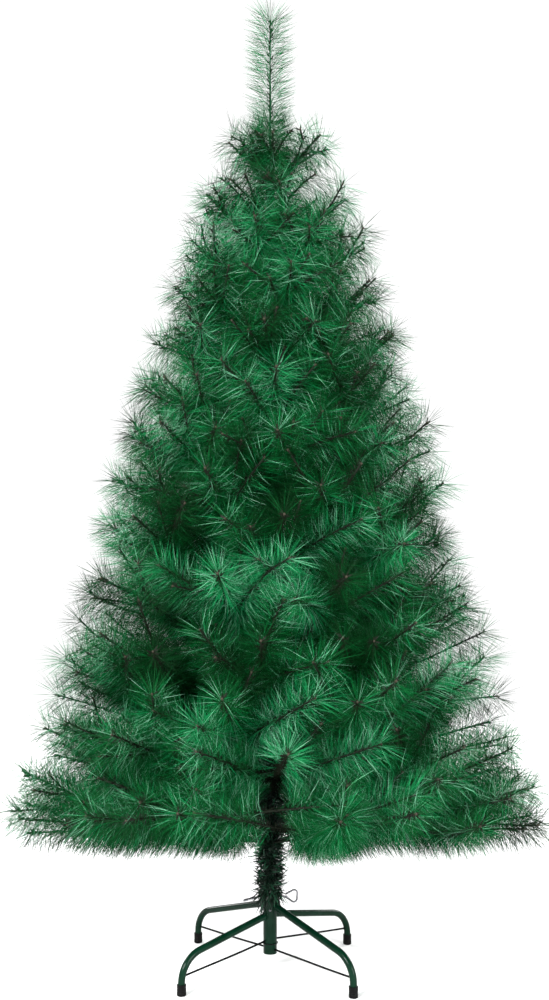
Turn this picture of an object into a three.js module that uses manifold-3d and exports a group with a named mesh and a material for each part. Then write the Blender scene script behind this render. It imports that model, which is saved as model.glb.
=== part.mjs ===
// Artificial pine tree, 1.8 m tall, on a folding four-leg stand of painted steel tube.
// Millimetres, +Z up. The origin is on the floor, on the axis of the trunk pole.
import * as THREE from "three";
import { mergeVertices } from "three/addons/utils/BufferGeometryUtils.js";
import Module from "manifold-3d";

const wasm = await Module();
wasm.setup();

// ---------- Driving dimensions ----------

const CLEARANCE = 0.4; // between pieces that touch in the real tree

// The trunk pole: three plugged lengths of tube, then the wire of the leader.
const POLE = {
  foot: 42,
  lowerRadius: 10.8,
  firstJoint: 655,
  middleRadius: 9.5,
  secondJoint: 1130,
  upperRadius: 8,
  shoulder: 1516,
  neck: 1536,
  wireRadius: 2.2,
  tipRadius: 1.3,
  tip: 1768,
};

// The stand: a socket tube on four bent legs that cross in two pairs. Angles are in degrees.
const SOCKET = { radius: 12.7, wall: 1.4, foot: 28.5, top: 150 };
const LEG_RADIUS = 6.35;
const LEG_BEND_RADIUS = 50;
const FOOT_CIRCLE_RADIUS = 210.6;
const UPPER_PAIR = { height: 121, slope: 16, stayAtSocket: 38, stayAtLeg: 33 };
const LOWER_PAIR = { height: 101, slope: 10.5, stayAtSocket: 54, stayAtLeg: 32 };
const LEGS = [
  { place: "front_right", azimuth: -46.9, pair: UPPER_PAIR },
  { place: "back_right", azimuth: 43.1, pair: LOWER_PAIR },
  { place: "back_left", azimuth: 133.1, pair: UPPER_PAIR },
  { place: "front_left", azimuth: -136.9, pair: LOWER_PAIR },
];
const CAP = { radius: 8.4, height: 20, floor: 4, lip: 1 };
const STAY_RADIUS = 1.35;
const STAY_END_GAP = 1.6; // to the leg, whose bend is faceted
const STAY_RING = { height: 48, wireRadius: 0.9 };
const EYE_BOLT = { height: 137, shank: 17, loopRadius: 9.5, wireRadius: 1.7 };
const EYE_BOLTS = [
  { place: "right", azimuth: 0, roll: 90, droop: 4 },
  { place: "left", azimuth: 188, roll: 10, droop: 14 },
];

// The tinsel sleeve round the foot of the pole.
const SLEEVE = { foot: 153, top: 290, thin: 22, thick: 34, rough: 2.5 };

// The needles are a cone of layers, each a ring of separate masses. The boundary between two
// layers rises outwards from `pole`, at the axis, to `edge`, at the outline, as the wires do.
const BOUNDARIES = [
  { pole: 256, edge: 246 },
  { pole: 350, edge: 402 },
  { pole: 518, edge: 592 },
  { pole: 704, edge: 790 },
  { pole: 890, edge: 990 },
  { pole: 1092, edge: 1190 },
  { pole: 1290, edge: 1382 },
  { pole: 1524, edge: 1604 },
];
// A layer's hollow is the radius of the open space round the pole, which its boughs cross.
const LAYERS = [
  { masses: 6, turn: 2, hollow: 112, boughRadius: 4.2 },
  { masses: 5, turn: 54, hollow: 92, boughRadius: 3.9 },
  { masses: 4, turn: 20, hollow: 74, boughRadius: 3.6 },
  { masses: 4, turn: 65, hollow: 19 },
  { masses: 3, turn: 30, hollow: 17 },
  { masses: 2, turn: 82, hollow: 15 },
  { masses: 2, turn: 5, hollow: 14 },
];
const SKIRT_REACH = 520; // the lowest layer stands out past the cone
const CONE = { foot: 402, top: 1600, footReach: 452, topReach: 92, bulge: 30 };
const BOUGH_TAPER = 0.7; // a bough's radius where it enters its mass, over that at the pole

const MASS_STEPS = { out: 2, round: 8, up: 4 };
const LAYER_GAP = 4; // left by a mass on its side of a boundary
const MASS_GAP = 7; // between two masses of one layer
const SKIRT_SCALLOPS = [0.94, 0.985, 1, 0.97, 0.9]; // share of the reach at each step up
const WHORL_SCALLOPS = [0.93, 1, 0.945, 1, 0.91];
const TIP_SCALLOPS = [1, 0.94, 0.99, 0.925, 0.86]; // the same, at each step round from the middle
const SIDE_THINNING = 0.16; // share of the thickness lost at the sides of the outline
const EDGE_THINNING = 0.12; // share of the thickness lost at the outline
const LUMP = 0.025; // share of the reach that the outline wanders

// The leader stands on the cone as a brush of its own.
const LEADER = { foot: 1548, flare: 1592, top: 1800, flareRadius: 54, brushRadius: 44, rough: 3 };

// ---------- Finishes ----------

const finish = (color, roughness, metalness = 0) =>
  new THREE.MeshStandardMaterial({ color, roughness, metalness });
const NEEDLE_GREEN = finish(0x0c6b3c, 0.5);
const TINSEL_GREEN = finish(0x0b3a20, 0.55);
const WIRE_BROWN = finish(0x2a2a1c, 0.6);
const POLE_GREEN = finish(0x14331f, 0.5, 0.2);
const STAND_GREEN = finish(0x1a4431, 0.35, 0.3);
const CAP_BLACK = finish(0x111312, 0.6);
const STAY_BLACK = finish(0x0d0f0e, 0.45, 0.4);
const CHROME = finish(0xc9ccd0, 0.2, 1);

// ---------- Helpers ----------

const tree = new THREE.Group();
const radians = THREE.MathUtils.degToRad;
const lerp = THREE.MathUtils.lerp;
const Y_AXIS = new THREE.Vector3(0, 1, 0);

function add(name, geometry, material, parent = tree) {
  const mesh = new THREE.Mesh(geometry, material);
  mesh.name = name;
  parent.add(mesh);
  return mesh;
}

// A solid of revolution about Z from [radius, height] corners, listed with the metal or
// plastic on their left as they are followed.
function turned(profile, sides) {
  const corners = profile.map(([radius, height]) => new THREE.Vector2(radius, height));
  return new THREE.LatheGeometry(corners, sides).rotateX(Math.PI / 2);
}

// A ring of rectangular section about Z.
function ring(inner, outer, low, high, sides) {
  const profile = [
    [inner, low],
    [outer, low],
    [outer, high],
    [inner, high],
    [inner, low],
  ];
  return turned(profile, sides);
}

// A round bar from one point to another, which may taper.
function bar(from, to, radiusFrom, radiusTo, sides) {
  const along = to.clone().sub(from);
  const turn = new THREE.Quaternion().setFromUnitVectors(Y_AXIS, along.clone().normalize());
  const middle = from.clone().add(to).multiplyScalar(0.5);
  return new THREE.CylinderGeometry(radiusTo, radiusFrom, along.length(), sides)
    .applyQuaternion(turn)
    .translate(middle.x, middle.y, middle.z);
}

// A round wire of even thickness along a curve.
function wireAlong(curve, radius, steps, sides) {
  const section = new THREE.Shape().absarc(0, 0, radius, 0, 2 * Math.PI);
  return new THREE.ExtrudeGeometry(section, {
    steps,
    curveSegments: sides / 2, // a whole circle takes two sides for each
    bevelEnabled: false,
    extrudePath: curve,
  });
}

// The solid of a closed geometry, for cutting.
function solidOf(geometry) {
  const bare = geometry.clone();
  bare.deleteAttribute("normal");
  bare.deleteAttribute("uv");
  const merged = mergeVertices(bare, 1e-3);
  const mesh = new wasm.Mesh({
    numProp: 3,
    vertProperties: merged.attributes.position.array,
    triVerts: new Uint32Array(merged.index.array),
  });
  return new wasm.Manifold(mesh);
}

// One geometry with another cut away.
function cut(geometry, tool) {
  const { vertProperties, triVerts } = solidOf(geometry).subtract(solidOf(tool)).getMesh();
  const result = new THREE.BufferGeometry();
  result.setAttribute("position", new THREE.BufferAttribute(vertProperties, 3));
  result.setIndex(new THREE.BufferAttribute(triVerts, 1));
  result.computeVertexNormals();
  return result;
}

// Moves each vertex of a geometry to the point that place(x, y, z) returns.
function reshape(geometry, place) {
  const position = geometry.getAttribute("position");
  for (let i = 0; i < position.count; i++) {
    const moved = place(position.getX(i), position.getY(i), position.getZ(i));
    position.setXYZ(i, ...moved);
  }
  geometry.computeVertexNormals();
  return geometry;
}

// A smooth unevenness from -1 to 1 over the turn about the pole and the height.
function unevenness(turn, height, seed) {
  const slow = Math.sin(3 * turn + height / 47 + 2.1 * seed);
  const fast = Math.sin(7 * turn - height / 29 + 4.7 * seed);
  return 0.55 * slow + 0.45 * fast;
}

// ---------- Stand ----------

function buildSocket() {
  const { radius, wall, foot, top } = SOCKET;
  add("stand_socket_tube", ring(radius - wall, radius, foot, top, 24), STAND_GREEN);

  const { height, wireRadius } = STAY_RING;
  const grip = radius + CLEARANCE;
  const bead = ring(grip, grip + 2 * wireRadius, height - wireRadius, height + wireRadius, 24);
  add("stand_stay_ring", bead, STAY_BLACK);
}

// The line of a leg in its own upright plane, x outwards: it slopes down from inside the socket,
// bends through an arc and drops straight into its cap.
class LegLine extends THREE.Curve {
  constructor({ height, slope }) {
    super();
    const lean = radians(slope);
    const startX = SOCKET.radius / 2;
    const centreX = FOOT_CIRCLE_RADIUS - LEG_BEND_RADIUS;
    const bendX = centreX + LEG_BEND_RADIUS * Math.sin(lean);
    const bendZ = height - (bendX - startX) * Math.tan(lean);
    this.centreX = centreX;
    this.centreZ = bendZ - LEG_BEND_RADIUS * Math.cos(lean);
    this.start = new THREE.Vector3(startX, 0, height);
    this.bend = new THREE.Vector3(bendX, 0, bendZ);
    this.arcStart = Math.PI / 2 - lean;
    this.straight = this.bend.distanceTo(this.start);
    this.arc = LEG_BEND_RADIUS * this.arcStart;
    this.drop = this.centreZ - CAP.floor - CLEARANCE;
  }

  getPoint(t, target = new THREE.Vector3()) {
    const along = t * (this.straight + this.arc + this.drop);
    if (along <= this.straight) {
      return target.lerpVectors(this.start, this.bend, along / this.straight);
    }
    const pastBend = along - this.straight;
    if (pastBend > this.arc) {
      return target.set(FOOT_CIRCLE_RADIUS, 0, this.centreZ - (pastBend - this.arc));
    }
    const angle = this.arcStart * (1 - pastBend / this.arc);
    const x = this.centreX + LEG_BEND_RADIUS * Math.cos(angle);
    const z = this.centreZ + LEG_BEND_RADIUS * Math.sin(angle);
    return target.set(x, 0, z);
  }

  // How far out the line is at a height on its arc.
  reachAt(height) {
    const rise = height - this.centreZ;
    return this.centreX + Math.sqrt(LEG_BEND_RADIUS ** 2 - rise ** 2);
  }
}

function buildLeg({ place, azimuth, pair }) {
  const leg = new THREE.Group();
  leg.rotation.z = radians(azimuth);
  tree.add(leg);

  const line = new LegLine(pair);
  const room = turned(
    [
      [0, SOCKET.foot],
      [SOCKET.radius + CLEARANCE, SOCKET.foot],
      [SOCKET.radius + CLEARANCE, SOCKET.top],
      [0, SOCKET.top],
    ],
    24,
  );
  const tube = cut(wireAlong(line, LEG_RADIUS, 14, 10), room);
  add(`stand_leg_${place}`, tube, STAND_GREEN, leg);

  const bore = LEG_RADIUS + CLEARANCE;
  const capProfile = [
    [0, 0],
    [CAP.radius - CAP.lip, 0],
    [CAP.radius, CAP.lip],
    [CAP.radius - CAP.lip / 2, CAP.height],
    [bore, CAP.height],
    [bore, CAP.floor],
    [0, CAP.floor],
  ];
  const cap = add(`foot_cap_${place}`, turned(capProfile, 12), CAP_BLACK, leg);
  cap.position.x = FOOT_CIRCLE_RADIUS;

  const from = new THREE.Vector3(SOCKET.radius + 2 * CLEARANCE, 0, pair.stayAtSocket);
  const legSide = line.reachAt(pair.stayAtLeg) - LEG_RADIUS - STAY_END_GAP;
  const to = new THREE.Vector3(legSide, 0, pair.stayAtLeg);
  add(`stay_wire_${place}`, bar(from, to, STAY_RADIUS, STAY_RADIUS, 8), STAY_BLACK, leg);
}

// A screw through the socket wall, whose wire turns back in an open loop to turn it by.
// Roll stands the loop upright or lays it flat, and droop tips the whole screw.
function buildEyeBolt({ place, azimuth, roll, droop }) {
  const { height, shank, loopRadius, wireRadius } = EYE_BOLT;
  const points = [new THREE.Vector3(0, 0, 0), new THREE.Vector3(shank * 0.6, 0, 0)];
  const loopStart = 215;
  const loopEnd = 510;
  const loopPoints = 11;
  for (let i = 0; i < loopPoints; i++) {
    const angle = radians(lerp(loopStart, loopEnd, i / (loopPoints - 1)));
    const x = shank + loopRadius * (1 + Math.cos(angle));
    points.push(new THREE.Vector3(x, loopRadius * Math.sin(angle), 0));
  }
  const wire = wireAlong(new THREE.CatmullRomCurve3(points), wireRadius, 26, 6);

  const bolt = new THREE.Group();
  bolt.rotation.set(radians(roll), radians(droop), radians(azimuth), "ZYX");
  const out = SOCKET.radius + wireRadius * Math.sin(radians(droop)) + CLEARANCE;
  bolt.position.set(out * Math.cos(radians(azimuth)), out * Math.sin(radians(azimuth)), height);
  tree.add(bolt);
  add(`eye_bolt_${place}`, wire, CHROME, bolt);
}

// ---------- Trunk ----------

function buildPole() {
  const profile = [
    [0, POLE.foot],
    [POLE.lowerRadius, POLE.foot],
    [POLE.lowerRadius, POLE.firstJoint],
    [POLE.middleRadius, POLE.firstJoint + 1],
    [POLE.middleRadius, POLE.secondJoint],
    [POLE.upperRadius, POLE.secondJoint + 1],
    [POLE.upperRadius, POLE.shoulder],
    [POLE.wireRadius, POLE.neck],
    [POLE.tipRadius, POLE.tip],
    [0, POLE.tip],
  ];
  add("trunk_pole", turned(profile, 16), POLE_GREEN);
}

// The sleeve of short tinsel, thickest in its middle.
function buildSleeve() {
  const { foot, top, thin, thick, rough } = SLEEVE;
  const bore = POLE.lowerRadius + CLEARANCE;
  const rings = 6;
  const profile = [[bore, foot]];
  for (let i = 0; i <= rings; i++) {
    const share = i / rings;
    profile.push([lerp(thin, thick, Math.sin(Math.PI * share)), lerp(foot, top, share)]);
  }
  profile.push([bore, top], [bore, foot]);
  const sleeve = reshape(turned(profile, 12), (x, y, z) => {
    const radius = Math.hypot(x, y);
    if (radius < thin - rough) return [x, y, z];
    const turn = Math.atan2(y, x);
    const scale = 1 + (rough * unevenness(turn, z, 3)) / radius;
    return [x * scale, y * scale, z];
  });
  add("trunk_tinsel_sleeve", sleeve, TINSEL_GREEN);
}

// ---------- Needles and boughs ----------

// The reach of the outline from the pole at a height.
function reachAt(height) {
  if (height < CONE.foot) return SKIRT_REACH;
  const share = (height - CONE.foot) / (CONE.top - CONE.foot);
  const swell = CONE.bulge * Math.sin(Math.PI * Math.min(share, 1));
  return lerp(CONE.footReach, CONE.topReach, share) + swell;
}

// The height of a boundary at a distance from the pole.
function boundaryAt({ pole, edge }, radius) {
  const outlineReach = reachAt(Math.max(edge, CONE.foot));
  return lerp(pole, edge, radius / outlineReach);
}

// One mass: a block whose length runs out from the hollow, whose width runs round the pole and
// whose height fills the layer, scalloped like the tips of its whorls and uneven all over.
function needleMass(layerIndex, massIndex) {
  const { masses, turn, hollow } = LAYERS[layerIndex];
  const low = BOUNDARIES[layerIndex];
  const high = BOUNDARIES[layerIndex + 1];
  const scallops = layerIndex === 0 ? SKIRT_SCALLOPS : WHORL_SCALLOPS;
  const middle = radians(turn + (360 / masses) * massIndex);
  const seed = 5 * layerIndex + massIndex;
  const { out, round, up } = MASS_STEPS;

  return reshape(new THREE.BoxGeometry(1, 1, 1, out, round, up), (x, y, z) => {
    const outward = x + 0.5;
    const side = 2 * y;
    const step = Math.round((z + 0.5) * up);
    const outlineHeight = lerp(low.edge, high.edge, step / up);
    const angle = middle + (Math.PI / masses) * side;
    const retreat = TIP_SCALLOPS[Math.round((Math.abs(side) * round) / 2)];
    const wander = 1 - LUMP * (1 - unevenness(angle, outlineHeight, seed));
    const reach = reachAt(outlineHeight) * scallops[step] * retreat * wander;

    const radius = lerp(hollow, reach, outward);
    const floor = boundaryAt(low, radius) + LAYER_GAP;
    const roof = boundaryAt(high, radius) - LAYER_GAP;
    const thinning = EDGE_THINNING * outward ** 2 + SIDE_THINNING * outward * side ** 4;
    const height = (floor + roof) / 2 + (roof - floor) * z * (1 - thinning);

    const turnedBack = (side * MASS_GAP) / 2 / radius;
    const place = angle - turnedBack;
    return [radius * Math.cos(place), radius * Math.sin(place), height];
  });
}

// One bough: a tapering limb from the pole to the middle of its mass's inner face.
function bough(layerIndex, massIndex) {
  const { masses, turn, hollow, boughRadius } = LAYERS[layerIndex];
  const angle = radians(turn + (360 / masses) * massIndex);
  const middleAt = (radius) =>
    (boundaryAt(BOUNDARIES[layerIndex], radius) + boundaryAt(BOUNDARIES[layerIndex + 1], radius)) / 2;
  const pointAt = (radius) =>
    new THREE.Vector3(radius * Math.cos(angle), radius * Math.sin(angle), middleAt(radius));
  const from = pointAt(POLE.lowerRadius + 2 * CLEARANCE + 0.6);
  const to = pointAt(hollow - 3 * CLEARANCE);
  return bar(from, to, boughRadius, boughRadius * BOUGH_TAPER, 8);
}

function buildLayers() {
  LAYERS.forEach(({ masses, boughRadius }, layerIndex) => {
    for (let massIndex = 0; massIndex < masses; massIndex++) {
      const place = `${layerIndex + 1}_${massIndex + 1}`;
      add(`needles_${place}`, needleMass(layerIndex, massIndex), NEEDLE_GREEN);
      if (boughRadius) add(`bough_${place}`, bough(layerIndex, massIndex), WIRE_BROWN);
    }
  });
}

// The leader's brush, cut round the wire that runs up through it.
function buildLeader() {
  const { foot, flare, top, flareRadius, brushRadius, rough } = LEADER;
  const bore = POLE.wireRadius + CLEARANCE;
  const roof = POLE.tip + CLEARANCE;
  const profile = [
    [0, roof],
    [bore, roof],
    [bore, foot],
    [bore + 2 * rough, foot],
    [flareRadius, flare],
    [brushRadius * 0.9, lerp(flare, top, 0.24)],
    [brushRadius, lerp(flare, top, 0.5)],
    [brushRadius, lerp(flare, top, 0.76)],
    [brushRadius * 0.62, lerp(flare, top, 0.95)],
    [0, top],
  ];
  const brush = reshape(turned(profile, 12), (x, y, z) => {
    const radius = Math.hypot(x, y);
    if (radius <= bore + rough) return [x, y, z];
    const scale = 1 + (rough * unevenness(Math.atan2(y, x), z, 8)) / radius;
    return [x * scale, y * scale, z];
  });
  add("leader_needles", brush, NEEDLE_GREEN);
}

buildSocket();
LEGS.forEach(buildLeg);
EYE_BOLTS.forEach(buildEyeBolt);
buildPole();
buildSleeve();
buildLayers();
buildLeader();

export default tree;
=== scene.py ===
"""Artificial pine tree, 1.8 m tall, on a folding four-leg stand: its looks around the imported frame.

Lengths are metres, +Z is up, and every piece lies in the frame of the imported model. The crown is
grown as rings of wired boughs with side twigs, each a bottle brush of thin needles. The pole and
the stand are swept and turned surfaces, and the tinsel is thin blades, as the needles are.
"""
import logging
import math
from dataclasses import dataclass, field, fields
from enum import Enum
from typing import Sequence

import bpy
import numpy as np
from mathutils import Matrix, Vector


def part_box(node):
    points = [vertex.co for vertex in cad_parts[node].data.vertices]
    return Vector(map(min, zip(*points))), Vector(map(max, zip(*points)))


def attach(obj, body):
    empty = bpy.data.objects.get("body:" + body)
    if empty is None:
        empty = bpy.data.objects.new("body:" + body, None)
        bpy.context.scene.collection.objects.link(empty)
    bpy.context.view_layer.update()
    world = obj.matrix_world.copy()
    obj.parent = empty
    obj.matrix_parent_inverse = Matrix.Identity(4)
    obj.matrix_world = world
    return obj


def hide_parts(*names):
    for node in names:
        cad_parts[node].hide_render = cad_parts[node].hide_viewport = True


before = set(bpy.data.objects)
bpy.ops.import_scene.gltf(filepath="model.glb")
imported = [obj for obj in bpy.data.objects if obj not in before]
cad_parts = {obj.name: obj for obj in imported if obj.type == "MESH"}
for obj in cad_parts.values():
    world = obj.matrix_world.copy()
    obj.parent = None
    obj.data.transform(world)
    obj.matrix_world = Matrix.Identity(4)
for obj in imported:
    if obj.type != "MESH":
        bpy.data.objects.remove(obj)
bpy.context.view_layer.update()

LOG = logging.getLogger("pine_tree")
BODY = "root"
SEED = 20240
MM = 0.001
NOUGHT = 1e-12
UP = np.array([0.0, 0.0, 1.0])


# ---------- Arrays ----------


def unit(vectors: np.ndarray) -> np.ndarray:
    """Each vector over its length.

    Args:
        vectors: Any array whose last axis holds x, y and z.

    Returns:
        The same array with every vector one long.
    """
    return vectors / np.maximum(np.linalg.norm(vectors, axis=-1, keepdims=True), NOUGHT)


def smooth_step(share: np.ndarray) -> np.ndarray:
    """The curve 3s^2 - 2s^3, which rises from 0 to 1 with level ends."""
    held = np.clip(share, 0.0, 1.0)
    return held * held * (3.0 - 2.0 * held)


def round_axis(azimuth: np.ndarray, radius: np.ndarray, height: np.ndarray) -> np.ndarray:
    """Points at (radius cos a, radius sin a, height).

    Args:
        azimuth: Angles about the Z axis, in radians.
        radius: Distances from the axis.
        height: Heights.

    Returns:
        The points, with x, y and z on the last axis.
    """
    parts = (radius * np.cos(azimuth), radius * np.sin(azimuth), height + 0.0 * azimuth)
    return np.stack(np.broadcast_arrays(*parts), axis=-1)


@dataclass
class Surface:
    """The points and faces of one mesh.

    Attributes:
        points: Vertex places, one row each.
        quads: Faces of four vertices, one row each.
        triangles: Faces of three vertices, one row each.
    """

    points: np.ndarray
    quads: np.ndarray = field(default_factory=lambda: np.zeros((0, 4), int))
    triangles: np.ndarray = field(default_factory=lambda: np.zeros((0, 3), int))

    @classmethod
    def joined(cls, surfaces: Sequence["Surface"]) -> "Surface":
        """Several surfaces as one, with their face numbers moved on.

        Args:
            surfaces: The surfaces, in order.

        Returns:
            One surface that holds them all.
        """
        starts = np.cumsum([0] + [len(s.points) for s in surfaces[:-1]])
        return cls(
            np.concatenate([s.points for s in surfaces]),
            np.concatenate([s.quads + start for s, start in zip(surfaces, starts)]),
            np.concatenate([s.triangles + start for s, start in zip(surfaces, starts)]),
        )

    def turned(self, azimuth: float) -> "Surface":
        """The surface turned about the Z axis, by an angle in radians."""
        cos, sin = math.cos(azimuth), math.sin(azimuth)
        turn = np.array([[cos, sin, 0.0], [-sin, cos, 0.0], [0.0, 0.0, 1.0]])
        return Surface(self.points @ turn, self.quads, self.triangles)

    def moved(self, offset: Sequence[float]) -> "Surface":
        """The surface moved by an offset."""
        return Surface(self.points + np.asarray(offset), self.quads, self.triangles)

    def as_object(self, name: str, material: bpy.types.Material, smooth: bool) -> bpy.types.Object:
        """A Blender object at the origin that holds the surface.

        Args:
            name: The object's and the mesh's name.
            material: Its material.
            smooth: Whether the faces are shaded smooth.

        Returns:
            The linked object.
        """
        mesh = bpy.data.meshes.new(name)
        loops = np.concatenate([self.quads.ravel(), self.triangles.ravel()]).astype(np.int32)
        quad_starts = 4 * np.arange(len(self.quads))
        triangle_starts = 4 * len(self.quads) + 3 * np.arange(len(self.triangles))
        starts = np.concatenate([quad_starts, triangle_starts]).astype(np.int32)
        mesh.vertices.add(len(self.points))
        mesh.vertices.foreach_set("co", self.points.astype(np.float32).ravel())
        mesh.loops.add(len(loops))
        mesh.loops.foreach_set("vertex_index", loops)
        mesh.polygons.add(len(starts))
        mesh.polygons.foreach_set("loop_start", starts)
        mesh.polygons.foreach_set("use_smooth", np.full(len(starts), smooth))
        mesh.materials.append(material)
        mesh.update(calc_edges=True)
        piece = bpy.data.objects.new(name, mesh)
        bpy.context.scene.collection.objects.link(piece)
        return piece


def grid_quads(rows: int, columns: int) -> np.ndarray:
    """The faces of a grid of points numbered row by row, whose last column joins the first.

    Args:
        rows: How many rows of points.
        columns: How many points a row holds.

    Returns:
        One row of four point numbers for each face.
    """
    row = np.arange(rows - 1)[:, None]
    column = np.arange(columns)[None, :]
    following = (column + 1) % columns
    quad = (
        row * columns + column,
        row * columns + following,
        (row + 1) * columns + following,
        (row + 1) * columns + column,
    )
    return np.stack(np.broadcast_arrays(*quad), axis=-1).reshape(-1, 4)


def revolved(profile: Sequence[Sequence[float]], sides: int) -> Surface:
    """A profile of (radius, height) turned about the Z axis, with both ends on the axis closed.

    Args:
        profile: Radius and height pairs, followed with the solid on the left. A first or last
            radius of nought is a pole, and a profile that ends where it starts is a ring.
        sides: How many steps round.

    Returns:
        The closed surface.
    """
    outline = np.array(profile, float)
    ring = np.allclose(outline[0], outline[-1])
    first_pole = outline[0, 0] < NOUGHT
    last_pole = outline[-1, 0] < NOUGHT
    body = outline[1 if first_pole else 0: -1 if (last_pole or ring) else None]
    azimuth = 2 * math.pi * np.arange(sides) / sides
    points = round_axis(azimuth[None, :], body[:, :1], body[:, 1:]).reshape(-1, 3)
    quads = grid_quads(len(body), sides)
    across = np.arange(sides)
    following = (across + 1) % sides
    last = (len(body) - 1) * sides
    if ring:
        seam = np.stack([last + across, last + following, following, across], axis=-1)
        quads = np.concatenate([quads, seam])
    triangles = []
    if first_pole:
        pole = np.full(sides, len(points))
        points = np.concatenate([points, [[0.0, 0.0, outline[0, 1]]]])
        triangles.append(np.stack([pole, following, across], axis=-1))
    if last_pole:
        pole = np.full(sides, len(points))
        points = np.concatenate([points, [[0.0, 0.0, outline[-1, 1]]]])
        triangles.append(np.stack([pole, last + across, last + following], axis=-1))
    closed = np.concatenate(triangles) if triangles else np.zeros((0, 3), int)
    return Surface(points, quads, closed)


def swept(paths: np.ndarray, radii: np.ndarray, sides: int, reference: np.ndarray = UP) -> Surface:
    """Round bars along paths, each closed by a point at both ends.

    At each step the section is the circle c + r (cos a) n + r (sin a) b, where n is square to
    the path and to a reference direction and b is square to both.

    Args:
        paths: Centre lines, indexed by bar, step and axis, or by step and axis for one bar.
        radii: The radius at each step of each bar, or of one bar.
        sides: How many points a section holds.
        reference: A direction that no path runs along.

    Returns:
        The surface of all the bars.
    """
    paths = paths[None] if paths.ndim == 2 else paths
    bars, steps = paths.shape[:2]
    radii = np.broadcast_to(radii, (bars, steps))[..., None]
    tangent = unit(np.gradient(paths, axis=1))
    normal = unit(np.cross(tangent, reference))
    binormal = np.cross(tangent, normal)
    angle = 2 * math.pi * np.arange(sides) / sides
    ring = (
        paths[:, :, None]
        + (radii * np.cos(angle))[..., None] * normal[:, :, None]
        + (radii * np.sin(angle))[..., None] * binormal[:, :, None]
    )
    points = ring.reshape(-1, 3)
    start = (np.arange(bars) * steps * sides)[:, None, None]
    quads = (start + grid_quads(steps, sides)[None]).reshape(-1, 4)

    across = np.arange(sides)
    following = (across + 1) % sides
    base = len(points) + 2 * np.arange(bars)[:, None] + 0 * across
    first = start[:, :, 0]
    last = first + (steps - 1) * sides
    foot_caps = np.stack([base, first + following, first + across], axis=-1)
    head_caps = np.stack([base + 1, last + across, last + following], axis=-1)
    ends = np.stack([paths[:, 0], paths[:, -1]], axis=1).reshape(-1, 3)
    triangles = np.concatenate([foot_caps.reshape(-1, 3), head_caps.reshape(-1, 3)])
    return Surface(np.concatenate([points, ends]), quads, triangles)


@dataclass
class Blades:
    """Thin pointed blades of two triangles each, for needles, barbs and tinsel.

    The middle line of a blade is root + L (t d + t^2 b). The blade starts at a point, is widest
    at t = 0.45, where it folds, and ends in a point at t = 1. Its width runs along d x f.

    Attributes:
        roots: Where each blade starts.
        directions: The unit direction d in which each sets out.
        bends: How far each bends from that by its tip, b, as a share of its length.
        lengths: The length L of each.
        half_widths: Half of the greatest width of each.
        faces: A direction f that each blade's flat faces, square to d or not.
    """

    roots: np.ndarray
    directions: np.ndarray
    bends: np.ndarray
    lengths: np.ndarray
    half_widths: np.ndarray
    faces: np.ndarray

    def picked(self, chosen: np.ndarray) -> "Blades":
        """The blades for which an array of truths holds."""
        return Blades(*(getattr(self, each.name)[chosen] for each in fields(self)))

    def surface(self) -> Surface:
        """The faces of all the blades."""
        waist = 0.45
        side = unit(np.cross(self.directions, self.faces)) * self.half_widths[:, None]
        reach = self.lengths[:, None]
        middle = self.roots + reach * (waist * self.directions + waist**2 * self.bends)
        tip = self.roots + reach * (self.directions + self.bends)
        outline = (self.roots, middle + side, middle - side, tip)
        first = len(outline) * np.arange(len(self.roots))[:, None]
        faces = np.concatenate([first + np.array([[0, 1, 2]]), first + np.array([[2, 1, 3]])])
        return Surface(np.stack(outline, axis=1).reshape(-1, 3), triangles=faces)


# ---------- Finishes ----------


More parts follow.
